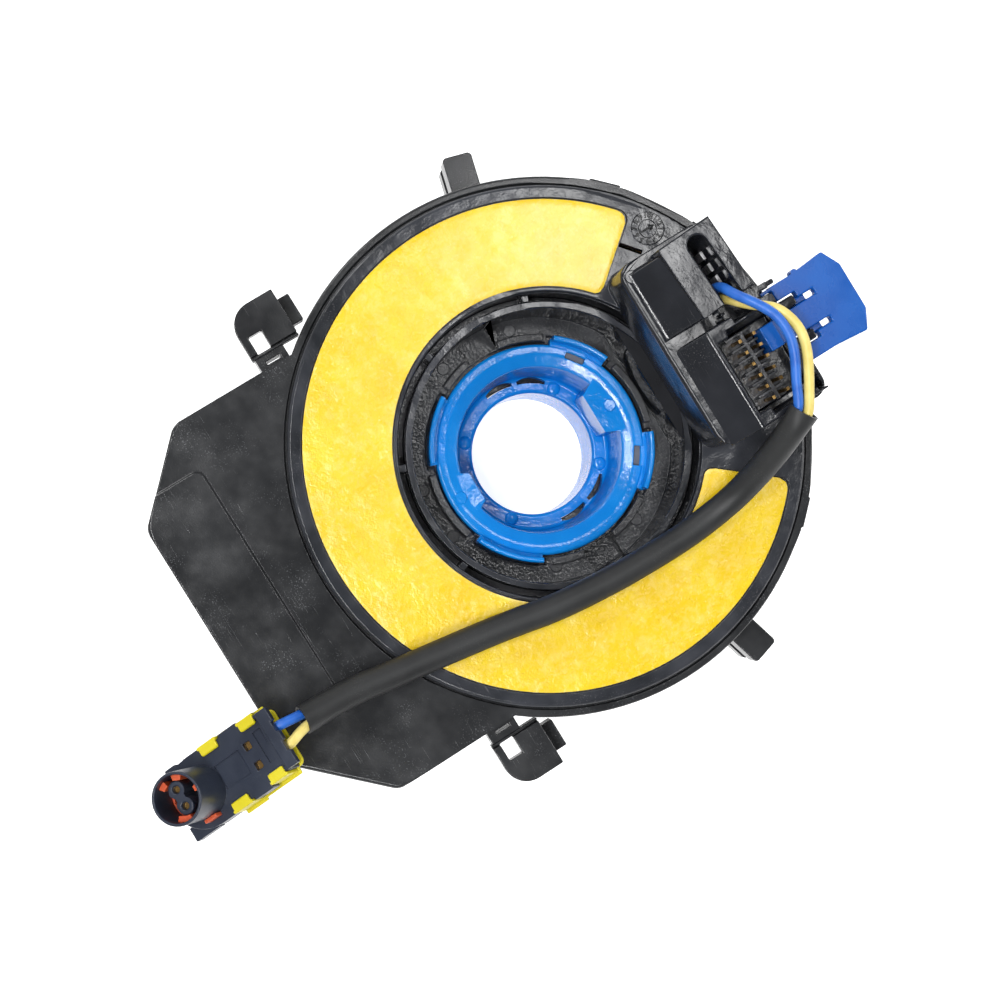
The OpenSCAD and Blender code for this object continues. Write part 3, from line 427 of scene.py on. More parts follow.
# %% Bevel with a weight for each edge
def bevelled(bm, radius_of, least=0.45, segments=3):
    """A mesh whose sharp edges are rounded by radius_of(middle) mm, or what room they have."""
    weight = bm.edges.layers.float.new("bevel_weight_edge")
    bm.edges.ensure_lookup_table()
    sharp = {e for e in bm.edges if len(e.link_faces) == 2 and e.calc_face_angle(0) > least}
    tree, on = edge_points(sharp)
    width = {}
    for e in bm.edges:
        r = radius_of((e.verts[0].co + e.verts[1].co) / 2 / mm) if e in sharp else 0
        if r:
            width[e] = room_across(e, min(r, room_along(e, sharp)), tree, on)
    for _ in range(3):
        for e in width:
            for near in (n for v in e.verts for n in v.link_edges if n is not e and n in width):
                grown = width[near] + slope * e.calc_length() / mm + slope_start
                width[e] = min(width[e], grown)
    widest = max(width.values())
    for e, w in width.items():
        e[weight] = w / widest if w > least_width else 0
    surface = BVHTree.FromBMesh(bm)
    raw = bpy.data.meshes.new("raw")
    piece = placed("raw", raw)
    bevel = piece.modifiers.new("bevel", "BEVEL")
    bevel.limit_method = "WEIGHT"
    bevel.width = widest * mm
    bevel.segments = segments
    bevel.use_clamp_overlap = False
    bevel.loop_slide = False
    for share in shares:
        bm.to_mesh(raw)
        raw.update()
        mesh = applied(piece)
        bad = bad_spots(mesh, surface, widest)
        if not bad or not ease(width, weight, bad, share):
            break
    kept = sum(e.calc_length() for e in width if e[weight] > 0)
    whole = sum(e.calc_length() for e in width)
    print(f"  rounded {100 * kept / whole:.0f}% of the edges, {len(bad)} spots left")
    bpy.data.objects.remove(piece)
    bm.free()
    return mesh

# %% Make a piece of a mesh
def finished(mesh, name, skin, body, replaces=(), smooth=0.6):
    """Turns a mesh or bmesh into a piece that rides on a body. smooth is an angle in radians."""
    bm = mesh
    if isinstance(mesh, bpy.types.Mesh):
        bm = bmesh.new()
        bm.from_mesh(mesh)
    else:
        mesh = bpy.data.meshes.new(name)
    for f in bm.faces:
        f.smooth = True
    for e in bm.edges:
        e.smooth = len(e.link_faces) != 2 or e.calc_face_angle(0) < smooth
    bm.to_mesh(mesh)
    bm.free()
    mesh.name = name
    mesh.materials.clear()
    mesh.materials.append(skin)
    piece = placed(name, mesh)
    weighted = piece.modifiers.new("weighted", "WEIGHTED_NORMAL")
    weighted.keep_sharp = True
    return settle(piece, body, replaces)

def settle(piece, body, replaces=()):
    plain = applied(piece)
    piece.modifiers.clear()
    piece.data = plain
    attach(piece, body)
    if replaces:
        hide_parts(*replaces)
    piece.data.calc_loop_triangles()
    print(f"{piece.name}: {len(piece.data.loop_triangles)} triangles")
    return piece

def paint_faces(piece, skin, chosen):
    """Gives a second finish to the faces that chosen(middle in mm, normal) picks."""
    piece.data.materials.append(skin)
    for face in piece.data.polygons:
        if chosen(face.center / mm, face.normal):
            face.material_index = len(piece.data.materials) - 1

def moulding(node, name, skin, body, radius_of):
    """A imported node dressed: copied, rounded by radius_of, and given its finish."""
    return finished(bevelled(merged_copy(node), radius_of), name, skin, body, [node])

# %% Housing
fine_edge = 0.25
rim_r = 54.5

def housing_radius(p):
    """The raised strip's far edges are the softest, then the rim."""
    r = math.hypot(p.x, p.y)
    if p.z > 36 and r > 55 and p.y < -33:
        return 0.8
    if abs(r - rim_r) < 0.3 and p.z > 36.5:
        return 0.6
    return fine_edge

moulding("housing", "housing_moulding", housing_black, "stator",
         housing_radius)

# %% Rotor plate with its tower
plate_top, ledge_z = 38.6, 49.5
crowded_corner = (21, 49)

def cover_radius(p):
    """Fine on the plate, soft on the tower, and none where many short edges meet."""
    if p.z < plate_top:
        return fine_edge
    if math.hypot(p.x - crowded_corner[0], p.y - crowded_corner[1]) < 4 and p.z < 46:
        return 0
    if abs(p.z - ledge_z) < 0.2 and (p.y < 29 or abs(p.x) > 17):
        return 1.6
    if p.z > 49 and p.y < 36:
        return 0.9
    return 0.4

cover = moulding("rotor_cover", "rotor_plate", rotor_black, "rotor",
                 cover_radius)
paint_faces(cover, tower_black, lambda at, n: at.z > 38.4 and at.y > 24)

# %% Hub: a grained well, glossy walls and a plain rim
hub = moulding("rotor_hub", "rotor_hub_moulding", well_black, "rotor",
               lambda p: 0.6 if p.y > 24 and abs(p.x) < 15 and p.z > 34 else fine_edge)
paint_faces(hub, glossy_black, lambda at, n: at.z > 25.5 and n.z < 0.9)
paint_faces(hub, rotor_black, lambda at, n: at.z > 33 and n.z >= 0.9)

# %% [markdown]
# ## Blue ring
# The ring is a turned shape with a few things added: a flange whose top is crowned, a funnel,
# a tube round the bore, four tabs with a raised lip, and two keys. A turned shape is easiest
# from its half section: the outline is drawn once with a radius at each corner, then carried
# round the axis. The same helper makes the tabs, which are short arcs of another section.

# %% Outlines with rounded corners
def rounded_outline(corners, steps=5):
    """A closed outline from corners (x, y, radius)."""
    made, n = [], len(corners)
    for i, (x, y, r) in enumerate(corners):
        at = Vector((x, y))
        if not r:
            made.append((x, y))
            continue
        a = (Vector(corners[i - 1][:2]) - at).normalized()
        b = (Vector(corners[(i + 1) % n][:2]) - at).normalized()
        half = a.angle(b) / 2
        centre = at + (a + b).normalized() * r / math.sin(half)
        start = at + a * r / math.tan(half) - centre
        end = at + b * r / math.tan(half) - centre
        first = math.atan2(start.y, start.x)
        turn = (math.atan2(end.y, end.x) - first + math.pi) % (2 * math.pi) - math.pi
        for k in range(steps + 1):
            here = first + turn * k / steps
            made.append((centre.x + r * math.cos(here), centre.y + r * math.sin(here)))
    return made

def polar(r, a):
    """The point at radius r and angle a in degrees."""
    return r * math.cos(math.radians(a)), r * math.sin(math.radians(a))

def walls(bm, rows, inward=False):
    """Faces between rows of points that are closed loops."""
    n = len(rows[0])
    for near, far in zip(rows, rows[1:]):
        for j in range(n):
            k = (j + 1) % n
            quad = (near[j], far[j], far[k], near[k])
            bm.faces.new(quad[::-1] if inward else quad)

def turned(bm, outline_at, steps, start=0, end=360):
    """Carries the (r, z) outline of each angle round the axis, with caps on an arc."""
    whole = end - start >= 360
    rows = []
    for i in range(steps if whole else steps + 1):
        a = start + (end - start) * i / steps
        rows.append([bm.verts.new((*(v * mm for v in polar(r, a)), z * mm))
                     for r, z in outline_at(a)])
    walls(bm, rows + rows[:1] if whole else rows)
    if not whole:
        bm.faces.new(rows[0])
        bm.faces.new(rows[-1][::-1])
    bmesh.ops.recalc_face_normals(bm, faces=bm.faces)
    return bm

def slab(bm, outline, z0, z1):
    """An upright slab from an (x, y) outline in millimetres."""
    low = [bm.verts.new((x * mm, y * mm, z0 * mm)) for x, y in outline]
    top = [bm.verts.new((x * mm, y * mm, z1 * mm)) for x, y in outline]
    n = len(outline)
    bm.faces.new(low[::-1])
    bm.faces.new(top)
    for i in range(n):
        j = (i + 1) % n
        bm.faces.new((low[i], low[j], top[j], top[i]))
    return bm

# %% Cut with a Boolean modifier
def cut(bm, cutter):
    """The first shape less the second. Both are used up."""
    pair = []
    for name, shape in (("body", bm), ("cutter", cutter)):
        bmesh.ops.recalc_face_normals(shape, faces=shape.faces)
        pair.append(placed(name, mesh_of(shape, name)))
    boolean = pair[0].modifiers.new("cut", "BOOLEAN")
    boolean.operation = "DIFFERENCE"
    boolean.solver = "EXACT"
    boolean.object = pair[1]
    mesh = applied(pair[0])
    for piece in pair:
        bpy.data.objects.remove(piece)
    made = bmesh.new()
    made.from_mesh(mesh)
    bpy.data.meshes.remove(mesh)
    return made

# %% Turned part of the ring, with its windows and slots
ring_section = rounded_outline([
    (13, 0, 0.3), (15, 0, 0.3), (15, 11.2, 0), (19, 11.2, 0), (19, 21.5, 0), (22, 21.5, 0),
    (22, 24.5, 0.7), (19.9, 24.5, 3.5), (18.9, 24.18, 0), (18.3, 23.99, 0),
    (17.4, 23.7, 0.5), (16.4, 13.2, 0.9), (13, 13.2, 0.8)])
bore_r, funnel_out, funnel_floor = 13, 17.95, 12.9
keys = ((-5.4, 4.8, 13.7), (-4.2, 3.7, -15.4))  # x from, x to, y of the face
key_slope, key_fade, no_key = 0.5, 9, 99
window_angles = (55, 127.5)
slot_spans = ((-8, 15), (19, 42), (138, 161), (165, 188))
slot_r, slot_bulge, slot_steps = 15.3, 1.1, 10

def key_radius(a):
    """How far in the ring's inner wall stands at angle a: its own radius, or a key's face."""
    out = no_key
    for x0, x1, face in keys:
        if face * math.sin(math.radians(a)) > 0:
            r = face / math.sin(math.radians(a))
            x = r * math.cos(math.radians(a))
            into = (min(1, max(0, (x - x0) / key_slope))
                    * min(1, max(0, (x1 - x) / key_slope)))
            out = min(out, r + (1 - into) * key_fade)
    return out

def ring_at(a):
    """The ring's section at angle a: the funnel's wall gives way to a key."""
    reach = key_radius(a)
    return [(max(min(r, reach), bore_r), z)
            if z > funnel_floor and bore_r + 0.1 < r < funnel_out else (r, z)
            for r, z in ring_section]

def at_windows(bm, near, far, half, z0, z1):
    """A block with rounded corners at each of the ring's windows."""
    corners = rounded_outline([(near, -half, 0.3), (far, -half, 0.3), (far, half, 0.3),
                               (near, half, 0.3)], 3)
    for a in window_angles:
        spin = Matrix.Rotation(math.radians(a), 4, "Z")
        slab(bm, [(spin @ Vector((x, y, 0))).to_2d()[:] for x, y in corners], z0, z1)

ring_bm = turned(bmesh.new(), ring_at, 240)
holes = bmesh.new()
at_windows(holes, 19.7, 21.8, 2.1, 20, 30)
for start, end in slot_spans:
    angles = [start + (end - start) * i / slot_steps for i in range(slot_steps + 1)]
    inner = [polar(15.1, a) for a in angles]
    bulge = [polar(slot_r + slot_bulge * math.sin(math.pi * (0.15 + 0.7 * i / slot_steps)), a)
             for i, a in enumerate(angles)]
    slab(holes, inner[::-1] + bulge, 9, 14.5)
ring_bm = cut(ring_bm, holes)
print("turned part", len(ring_bm.faces), "faces")

# %% Tabs and bosses
tabs = ((37, 68), (112, 143), (211, 247), (293, 329))
boss_r, boss_at_r, boss_z, boss_flatness = 1.5, 14.75, 13.1, 0.45
boss_angles = (50, 130, 230, 310)
foot = rounded_outline([(21.2, 21.7, 0), (23.3, 21.7, 0), (23.3, 24.3, 0), (21.2, 24.3, 0)])
lip = rounded_outline([(22.5, 21.7, 0), (23.6, 21.7, 0.2), (23.6, 28, 0.5),
                       (22.5, 27.6, 0.35)], 4)
extra = bmesh.new()
for start, end in tabs:
    turned(extra, lambda a: foot, 24, start, end)
    turned(extra, lambda a: lip, 24, start + 0.6, end - 0.6)
bm = bmesh.new()
bm.from_mesh(bevelled(extra, lambda p: 0.45, segments=4))
bm.from_mesh(mesh_of(ring_bm, "ring_body"))
for a in boss_angles:
    dome = bmesh.ops.create_uvsphere(bm, u_segments=24, v_segments=12, radius=boss_r * mm)
    spot = Vector((*polar(boss_at_r, a), boss_z)) * mm
    for v in dome["verts"]:
        v.co = Vector((v.co.x, v.co.y, v.co.z * boss_flatness)) + spot
finished(bm, "hub_ring_moulding", hub_blue, "rotor", ["hub_ring"], smooth=0.5)

# %% Lock, with its outer end softer
moulding("shipping_lock", "shipping_lock_moulding", lock_blue, "lock",
         lambda p: 0.4 if p.y > 57 else fine_edge)

# %% Connector and small mouldings
for node, skin, slot, radius in (
        ("connector_body", connector_slate, "connector_slate", 0.35),
        ("connector_cover", connector_slate, "connector_slate", 0.2),
        ("connector_clip", clip_yellow, "clip_yellow", 0.45),
        ("connector_insert", insert_orange, "insert_orange", 0.12),
        ("socket_insert", well_black, "black_plastic", 0.12)):
    moulding(node, node + "_moulding", skin, "rotor", lambda p, r=radius: r)

# %% [markdown]
# ## Ejector marks
# A moulding is pushed out of its mould by round pins, and each leaves a small disc. It is one
# shape repeated at listed places, so a Geometry Nodes tree puts a copy at each point of a tiny
# mesh: a cylinder with a short cone on it. The tree's inputs are the sizes of the disc.

# %% A tree that repeats a tapered disc
def repeat_tree():
    """Puts a disc with a tapered end at each point, and gives it a material."""
    tree = bpy.data.node_groups.new("repeat_disc", "GeometryNodeTree")
    face = tree.interface
    face.new_socket("Geometry", in_out="INPUT", socket_type="NodeSocketGeometry")
    for name, kind in (("Sides", "Int"), ("Radius", "Float"), ("Tip radius", "Float"),
                       ("Height", "Float"), ("Taper", "Float")):
        face.new_socket(name, in_out="INPUT", socket_type="NodeSocket" + kind)
    face.new_socket("Material", in_out="INPUT", socket_type="NodeSocketMaterial")
    face.new_socket("Geometry", in_out="OUTPUT", socket_type="NodeSocketGeometry")
    start, end = tree.nodes.new("NodeGroupInput"), tree.nodes.new("NodeGroupOutput")
    given = start.outputs
    stem = add(tree, "GeometryNodeMeshCylinder", Vertices=given["Sides"],
               Radius=given["Radius"], Depth=given["Height"])
    tip = add(tree, "GeometryNodeMeshCone", Vertices=given["Sides"],
              Radius_Bottom=given["Radius"], Radius_Top=given["Tip radius"],
              Depth=given["Taper"])
    lift = add(tree, "ShaderNodeCombineXYZ", Z=sums(tree, "MULTIPLY", given["Height"], 0.5))
    raised = add(tree, "GeometryNodeTransform", Geometry=tip.outputs["Mesh"],
                 Translation=lift.outputs[0])
    both = add(tree, "GeometryNodeJoinGeometry", Geometry=stem.outputs["Mesh"])
    feed(both.inputs[0], raised.outputs[0])
    copies = add(tree, "GeometryNodeInstanceOnPoints", Points=given["Geometry"],
                 Instance=both.outputs[0])
    real = add(tree, "GeometryNodeRealizeInstances", Geometry=copies.outputs[0])
    skin = add(tree, "GeometryNodeSetMaterial", Geometry=real.outputs[0],
               Material=given["Material"])
    feed(end.inputs[0], skin.outputs[0])
    return tree

repeat = repeat_tree()

# %% Ejector marks
mark_sides, mark_height, mark_taper, mark_tip_r = 28, 0.3, 0.12, 1.15

def ejector_marks(name, places, skin, radius):
    """Low discs on the rotor at the given places, all in millimetres."""
    mesh = bpy.data.meshes.new(name)
    mesh.from_pydata([tuple(v * mm for v in p) for p in places], [], [])
    piece = placed(name, mesh)
    modifier = piece.modifiers.new("repeat", "NODES")
    modifier.node_group = repeat
    given = {"Sides": mark_sides, "Radius": radius * mm, "Tip radius": mark_tip_r * mm,
             "Height": mark_height * mm, "Taper": mark_taper * mm, "Material": skin}
    for socket in repeat.interface.items_tree:
        if socket.name in given:
            modifier[socket.identifier] = given[socket.name]
    return settle(piece, "rotor")

ejector_marks("well_marks", [(-24.8, -8.5, 23.45), (-24.5, 7.6, 23.45), (-5.5, -25.4, 23.45),
                             (5.8, -25.1, 23.45), (22.3, -10, 23.45), (23, 9.6, 23.45)],
              mark_black, 1.35)
ejector_marks("ledge_mark", [(-19.7, 28.7, 49.35)], tower_black, 1.35)
ejector_marks("ring_marks", [(-0.3, 17.4, 24.0), (-0.2, -19.6, 24.3)], hub_blue,
              1.3)

# %% [markdown]
# ## Date dial
# Beside the tower the mould carries a date dial: a shallow round recess with the twelve
# months round its rim and an arrow. The digits are plain text turned into meshes. Digits,
# arrow and rim are coloured near black: painted shade, the shade held in engraved marks.

# %% Date dial
dial_at, dial_z = (-26.9, 40.2), 37.85
digit_mm, digit_r, digit_depth, digit_bold = 1.5, 2.65, 0.14, 0.035
months = 12

def glyph(text):
    """The mesh of a short text, centred."""
    curve = bpy.data.curves.new("glyph", "FONT")
    curve.body = text
    curve.size = digit_mm * mm
    curve.align_x = "CENTER"
    curve.align_y = "CENTER"
    curve.extrude = digit_depth * mm
    curve.offset = digit_bold * mm
    curve.resolution_u = 2
    piece = placed("glyph", curve)
    mesh = applied(piece)
    bpy.data.objects.remove(piece)
    return mesh

bm = bmesh.new()
for month in range(1, months + 1):
    a = math.radians(90 - 360 * month / months)
    mesh = glyph(str(month))
    spot = Matrix.Translation((dial_at[0] * mm + digit_r * mm * math.cos(a),
                               dial_at[1] * mm + digit_r * mm * math.sin(a), dial_z * mm))
    mesh.transform(spot @ Matrix.Rotation(a - math.pi / 2, 4, "Z"))
    bm.from_mesh(mesh)
    bpy.data.meshes.remove(mesh)
arrow = [(-0.2, -1.5), (0.2, -1.5), (0.2, 0.4), (0.75, 0.4), (0, 1.5), (-0.75, 0.4), (-0.2, 0.4)]
slab(bm, [(x + dial_at[0], y + dial_at[1]) for x, y in arrow], dial_z - 0.1, dial_z + 0.1)
dial_rim = ((1.75, -0.1), (1.95, -0.1), (1.9, 0.12), (1.8, 0.12))
rim = turned(bmesh.new(), lambda a: dial_rim, 48)
bmesh.ops.translate(rim, verts=rim.verts, vec=Vector((*dial_at, dial_z)) * mm)
bm.from_mesh(mesh_of(rim, "dial_rim"))
finished(bm, "date_dial", dial_painted_shade, "rotor")

# %% Window shade: grey sheets under the ring's windows, painted shade seen through them
shade_pads = bmesh.new()
at_windows(shade_pads, 19.4, 22.0, 2.4, 22.6, 23.4)
finished(shade_pads, "window_shade_pads", window_shade_grey, "rotor")

# %% [markdown]
# ## Hidden pieces
# The ribbon, its blocks, the sockets on the column's side and the back cover are finished
# plainly, but they still get real materials: they show from below and at the gaps.

# %% Metal and film
def plated_metal(name, colour, rough):
    """Metal plating with darker stains, which are also rougher."""
    made, tree, surface, place = new_skin(name)
    colour = srgb(*colour)
    stain = ramp(tree, speckle(tree, place, 0.8, 3), 0.4, 0.7)
    dull = tuple(c * 0.6 for c in colour)
    put(surface, Base_Color=tint(tree, stain, colour, dull), Metallic=1,
        Roughness=ramp(tree, stain, 0, 1, rough, rough + 0.2))
    return made

pin_gold = plated_metal("pin_gold", (150, 120, 72), 0.3)
blade_tin = plated_metal("blade_tin", (188, 188, 190), 0.35)
film, tree, surface, place = new_skin("ribbon_film")
stripes = add(tree, "ShaderNodeTexWave", bands_direction="Z", Scale=130, Vector=place)
foil = ramp(tree, stripes.outputs["Fac"], 0.4, 0.6)
put(surface, Roughness=0.3,
    Base_Color=tint(tree, foil, srgb(226, 224, 214), srgb(196, 150, 96)))

for node, skin in (("back_cover", housing_black), ("airbag_header", clip_yellow),
                   ("airbag_header_pins", pin_gold), ("switch_header", socket_grey),
                   ("switch_header_pins", pin_gold), ("ribbon_outer_block", natural_white),
                   ("ribbon_inner_block", natural_white), ("ribbon_cable", film),
                   ("retainer", natural_white), ("switch_pins", pin_gold),
                   ("squib_contacts", blade_tin), ("connector_contacts", pin_gold)):
    for material_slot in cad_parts[node].material_slots:
        material_slot.material = skin

# %% [markdown]
# ## Airbag lead
# Two soft wires leave the small socket, dip into a thin black sleeve, and come out at the plug.
# A cord is a tube carried along a path. Rings are set square to the path, each turned as
# little as possible from the last, so the tube doesn't twist. The points are those of the
# solid model, with the blue wire's crest a little lower, and a smooth curve runs by them.

# %% Path and tube
def smooth_path(points, per_span=6):
    """A Catmull-Rom curve through the points, in metres."""
    p = [Vector(q) * mm for q in points]
    p = [2 * p[0] - p[1]] + p + [2 * p[-1] - p[-2]]
    line = []
    for i in range(1, len(p) - 2):
        for k in range(per_span):
            t = k / per_span
            line.append(0.5 * (2 * p[i] + (p[i + 1] - p[i - 1]) * t
                               + (2 * p[i - 1] - 5 * p[i] + 4 * p[i + 1] - p[i + 2]) * t ** 2
                               + (3 * p[i] - p[i - 1] - 3 * p[i + 1] + p[i + 2]) * t ** 3))
    return line + [p[-2]]

def path_length(line):
    """The length of a line of points."""
    return sum((b - a).length for a, b in zip(line, line[1:]))

def tube_rings(bm, line, sides, size_at):
    """Rings of points along the line. size_at gives the two half widths at a share of it."""
    rings, side = [], Vector((0.3, 0.2, 1))
    for i, at in enumerate(line):
        ahead = (line[min(i + 1, len(line) - 1)] - line[max(i - 1, 0)]).normalized()
        side = (side - side.dot(ahead) * ahead).normalized()
        across = ahead.cross(side)
        high, wide = size_at(i / (len(line) - 1))
        rings.append([bm.verts.new(at + side * high * math.cos(a) + across * wide * math.sin(a))
                      for a in (2 * math.pi * j / sides for j in range(sides))])
    return rings

def cord_tube(line, sides, size_at, wall=None):
    """A solid cord along the line, or a hollow one where a wall is given."""
    bm = bmesh.new()
    outer = tube_rings(bm, line, sides, size_at)
    walls(bm, outer)
    if wall:
        inner = tube_rings(bm, line, sides, lambda s: tuple(v - wall for v in size_at(s)))
        walls(bm, inner, inward=True)
        for a, b in ((outer[0], inner[0]), (inner[-1], outer[-1])):
            for j in range(sides):
                k = (j + 1) % sides
                bm.faces.new((a[j], a[k], b[k], b[j]))
    else:
        bm.faces.new(outer[0])
        bm.faces.new(outer[-1][::-1])
    bmesh.ops.recalc_face_normals(bm, faces=bm.faces)
    return bm

# %% Route of the lead
sleeve_points = [
    (19.9, 42, 57), (21.4, 39.3, 55.5), (23.9, 34.9, 51.5), (26, 30.5, 47.5), (27.8, 25.4, 44),
    (28.9, 19.7, 42), (29.5, 12.8, 41.2), (29.5, 4.7, 41), (29.1, -4.4, 41), (27.8, -16.4, 41),
    (25.4, -28.3, 41), (23.4, -40, 41.2), (21.7, -50.7, 42), (20.5, -57.3, 42.9),
    (19.8, -64, 44.2), (19.5, -70.2, 46)]
blue_start = [
    (-9.3, 42, 49), (-8.9, 42.1, 53.2), (-6.6, 42.2, 56.3), (-4.3, 43.5, 57.8), (-1.7, 45, 58.6),
    (1.2, 46.4, 59.05), (4.5, 46.8, 59.1), (7.9, 46.3, 59), (11.3, 44.9, 58.4), (15, 43, 57.6)]
yellow_start = [
    (-6.9, 42.1, 48), (-6.2, 42.4, 51.6), (-4.6, 43, 54.2), (-2.5, 44.8, 56.1), (-0.8, 46.9, 57),
    (0.9, 48.2, 57.8), (4.1, 49.1, 58.5), (7.4, 49.1, 58.8), (11.3, 47.7, 58.7),
    (15.1, 45.7, 58.2), (18.2, 44, 57.5)]
blue_end = [(17.8, -73.9, 47.1), (17.9, -76, 46.4), (18.1, -78.7, 45.4)]
yellow_end = [(21.8, -73.9, 48), (22, -76, 47.3), (22.2, -78.7, 46.3)]
wire_d, wire_sides, wire_gap = 2.0, 20, 0.1
sleeve_d, sleeve_sides, sleeve_wall = 5.6, 32, 0.5

def beside(points, d):
    """The sleeve's points moved sideways by d millimetres."""
    moved = []
    for i, p in enumerate(points):
        ahead = Vector(points[min(i + 1, len(points) - 1)]) - Vector(points[max(i - 1, 0)])
        moved.append(Vector(p) + ahead.normalized().cross(Vector((0, 0, 1))).normalized() * d)
    return moved

def eased_line(line, times=14):
    """The line with each point moved to the middle of its neighbours, a little at a time."""
    for _ in range(times):
        middle = [(a + 2 * b + c) / 4 for a, b, c in zip(line, line[1:], line[2:])]
        line = [line[0], *middle, line[-1]]
    return line

sleeve_line = smooth_path(sleeve_points, 8)
aside = wire_d / 2 + wire_gap / 2
blue_line = eased_line(smooth_path(blue_start + beside(sleeve_points, aside) + blue_end))
yellow_line = eased_line(smooth_path(yellow_start + beside(sleeve_points, -aside) + yellow_end))
for name, line in (("sleeve", sleeve_line), ("blue", blue_line), ("yellow", yellow_line)):
    print(name, round(path_length(line) / mm, 1), "mm")

# %% Wire coats
def wire_coat(name, colour, pale):
    """Soft vinyl: two close shades, a worn shine and a faint grain."""
    made, tree, surface, place = new_skin(name)
    shade = ramp(tree, speckle(tree, place, 3, 2), 0.35, 0.65)
    put(surface, Base_Color=tint(tree, shade, srgb(*colour), srgb(*pale)),
        Roughness=ramp(tree, speckle(tree, place, 1.2, 3), 0.35, 0.7, 0.34, 0.5),
        Normal=bump(tree, speckle(tree, place, 0.9, 2), 0.15, 0.1))
    let_light_in(surface, 0.1, (0.4, 0.4, 0.4))
    return made

blue_coat = wire_coat("blue_coat", (26, 92, 186), (46, 112, 206))
yellow_coat = wire_coat("yellow_coat", (224, 204, 112), (240, 220, 134))

# %% Make the lead
half = wire_d / 2 * mm
for name, line, skin, node in (("wire_blue_coat", blue_line, blue_coat, "wire_blue"),
                               ("wire_yellow_coat", yellow_line, yellow_coat, "wire_yellow")):
    bm = cord_tube(line, wire_sides, lambda s: (half, half))
    wire = finished(bm, name, skin, "rotor", [node])

def sleeve_size(s):
    """Round along most of its length, pressed flat and wide where it is cut at each end."""
    flat = max(0, 1 - s / 0.07) * 0.18 + max(0, 1 - (1 - s) / 0.05) * 0.08
    r = sleeve_d / 2 * mm
    return r * (1 - flat), r * (1 + 0.9 * flat)

bm = cord_tube(sleeve_line, sleeve_sides, sleeve_size, wall=sleeve_wall * mm)
sleeve = finished(bm, "harness_sleeve_tube", sleeve_vinyl, "rotor",
                  ["harness_sleeve"])

# %% [markdown]
# ## Label
# The label is a thin film laid in a shallow recess. A film is never quite flat: it shows soft
# wrinkles and small bubbles that break up the shine. It is a grid in rings and spokes, with
# rounded corners at its gap, lifted a little by noise. Whitish patches in its colour are
# painted glare.

# %% Label sheet
label_in, label_out, label_round = 31.9, 49.5, 2.0
label_from, label_to = 129.4, 410.3
label_top, label_t = 37.8, 0.2
spokes, label_rings = 420, 26

def label_inset(a):
    """How far the rounded corners pull the sheet's edges in at angle a."""
    r = (label_in + label_out) / 2
    near = min(a - label_from, label_to - a) * math.pi / 180 * r
    return 0 if near >= label_round else label_round - math.sqrt(
        max(0, label_round ** 2 - (label_round - near) ** 2))

def wrinkle(x, y):
    """Height of the film above its resting place, in millimetres."""
    soft = noise.noise(Vector((x / 9, y / 9, 3))) * 0.05
    fine = noise.noise(Vector((x / 2.6, y / 2.6, 8))) * 0.022
    return max(0, 0.05 + soft + fine)

label_yellow, tree, surface, place = new_skin("label_film")
wash = ramp(tree, speckle(tree, place, 9, 3, 0.6), 0.3, 0.7)
base = tint(tree, wash, srgb(230, 190, 12), srgb(238, 205, 34))
# Whitish patches mixed into the film's colour: painted glare, where the wrinkled film would
# catch the shine.
painted_glare = ramp(tree, speckle(tree, place, 4, 4, 0.72), 0.48, 0.74)
painted_glare = sums(tree, "MULTIPLY", painted_glare, 0.3)
fold = sums(tree, "ADD", speckle(tree, place, 2.2, 4, 0.62),
            sums(tree, "MULTIPLY", speckle(tree, place, 7, 2), 1.6))
put(surface, Base_Color=tint(tree, painted_glare, base, srgb(246, 232, 150)),
    Roughness=ramp(tree, speckle(tree, place, 2, 4, 0.7), 0.35, 0.7, 0.16, 0.34),
    Normal=bump(tree, fold, 1.0, 0.35), Coat_Weight=0.6, Coat_Roughness=0.2)

bm = bmesh.new()
top, low = [], []
for i in range(spokes + 1):
    a = label_from + (label_to - label_from) * (i / spokes)
    pull = label_inset(a)
    row_t, row_l = [], []
    for j in range(label_rings + 1):
        x, y = polar(label_in + pull + (label_out - label_in - 2 * pull) * j / label_rings, a)
        inside = min(j, label_rings - j, i, spokes - i) > 0
        lift = wrinkle(x, y) if inside else 0
        row_t.append(bm.verts.new((x * mm, y * mm, (label_top + lift) * mm)))
        row_l.append(bm.verts.new((x * mm, y * mm, (label_top - label_t) * mm)))
    top.append(row_t)
    low.append(row_l)
for i in range(spokes):
    for j in range(label_rings):
        bm.faces.new((top[i][j], top[i][j + 1], top[i + 1][j + 1], top[i + 1][j]))
        bm.faces.new((low[i][j], low[i + 1][j], low[i + 1][j + 1], low[i][j + 1]))
    for j in (0, label_rings):
        bm.faces.new((top[i][j], top[i + 1][j], low[i + 1][j], low[i][j]))
for j in range(label_rings):
    for i in (0, spokes):
        bm.faces.new((top[i][j], low[i][j], low[i][j + 1], top[i][j + 1]))
bmesh.ops.recalc_face_normals(bm, faces=bm.faces)
finished(bm, "label_sheet", label_yellow, "rotor", ["label"])

# %% [markdown]
# ## Floor and light
# The part lies on a plain white table in a bright tent. The table is a pale diffuse surface,
# and for camera, glossy and transmission rays it also gives off a little light, so it reads as
# white while the part's shadow stays. The sky is darker overhead than at the horizon, which
# keeps level black faces black, and soft lamps draw lines of light along the edges.

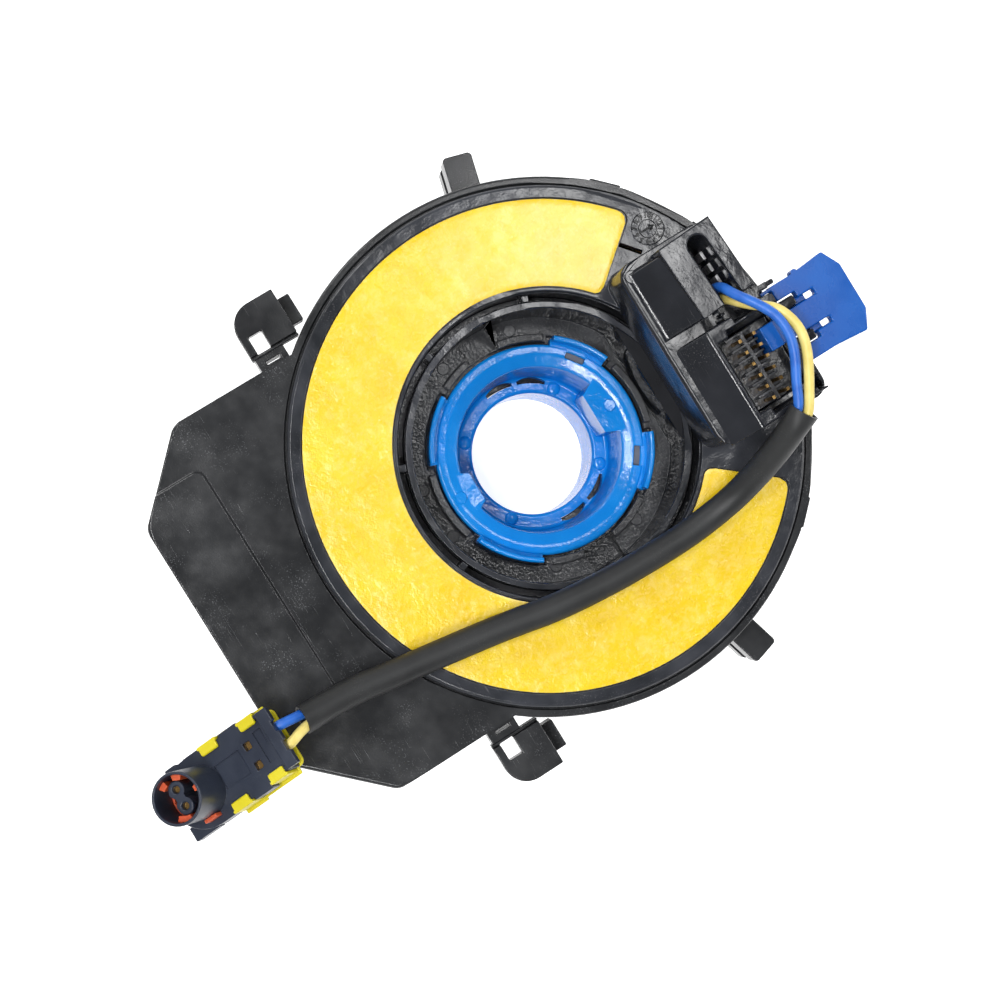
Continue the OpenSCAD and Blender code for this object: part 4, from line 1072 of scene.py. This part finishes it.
# %% Floor
table_half, table_shade, table_glow = 3, 0.82, 0.78
bm = bmesh.new()
bmesh.ops.create_grid(bm, x_segments=1, y_segments=1, size=table_half)
table = placed("table", mesh_of(bm, "table"))
white, tree, surface, place = new_skin("table_white")
seen_by = tree.nodes.new("ShaderNodeLightPath")
shown = sums(tree, "MAXIMUM", seen_by.outputs["Is Camera Ray"],
             sums(tree, "MAXIMUM", seen_by.outputs["Is Glossy Ray"],
                  seen_by.outputs["Is Transmission Ray"]))
put(surface, Base_Color=(table_shade, table_shade, table_shade, 1), Roughness=0.9,
    Specular_IOR_Level=0, Emission_Color=(1, 1, 1, 1),
    Emission_Strength=sums(tree, "MULTIPLY", shown, table_glow))
table.data.materials.append(white)
table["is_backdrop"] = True

# %% World: z is 0 at the horizon and 1 overhead
sky_from, sky_to, sky_at_horizon, sky_overhead = 0.3, 0.92, 0.53, 0.09
world = bpy.data.worlds.new("studio")
scene.world = world
world.use_nodes = True
tree = world.node_tree
tree.nodes.clear()
way = tree.nodes.new("ShaderNodeTexCoord").outputs["Generated"]
split = add(tree, "ShaderNodeSeparateXYZ", Vector=way)
level = ramp(tree, split.outputs["Z"], sky_from, sky_to, sky_at_horizon, sky_overhead)
seen_by = tree.nodes.new("ShaderNodeLightPath")
level = sums(tree, "MAXIMUM", level, seen_by.outputs["Is Camera Ray"])
sky = add(tree, "ShaderNodeBackground", Color=(1, 1, 1, 1), Strength=level)
add(tree, "ShaderNodeOutputWorld", Surface=sky.outputs[0])

# %% Lamps, in metres and watts
def softbox(name, at, size, power, shape):
    """A soft lamp that looks at the origin."""
    data = bpy.data.lights.new(name, "AREA")
    data.shape = shape
    data.size, data.size_y = size
    data.energy = power
    lamp = placed(name, data)
    lamp.location = at
    lamp.rotation_mode = "QUATERNION"
    lamp.rotation_quaternion = (-Vector(at)).to_track_quat("-Z", "Y")

for name, at, size, power, shape in (
        ("lamp_front", (0.02, -0.41, 1.0), (0.3, 0.08), 3.6, "RECTANGLE"),
        ("lamp_front_left", (-0.29, -0.31, 1.0), (0.22, 0.09), 2.6, "RECTANGLE"),
        ("lamp_front_right", (0.31, -0.31, 1.0), (0.22, 0.09), 2.6, "RECTANGLE"),
        ("lamp_top", (-0.08, 0.3, 1.1), (0.24, 0.16), 1.6, "ELLIPSE"),
        ("lamp_left", (-0.85, -0.1, 0.6), (0.2, 0.5), 2.5, "RECTANGLE"),
        ("lamp_back", (0.3, 0.8, 0.6), (0.5, 0.2), 2.5, "RECTANGLE")):
    softbox(name, at, size, power, shape)

# %% Sizes
bpy.context.view_layer.update()
low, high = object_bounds()
print("box", [round(v / mm, 2) for v in (*low, *high)])
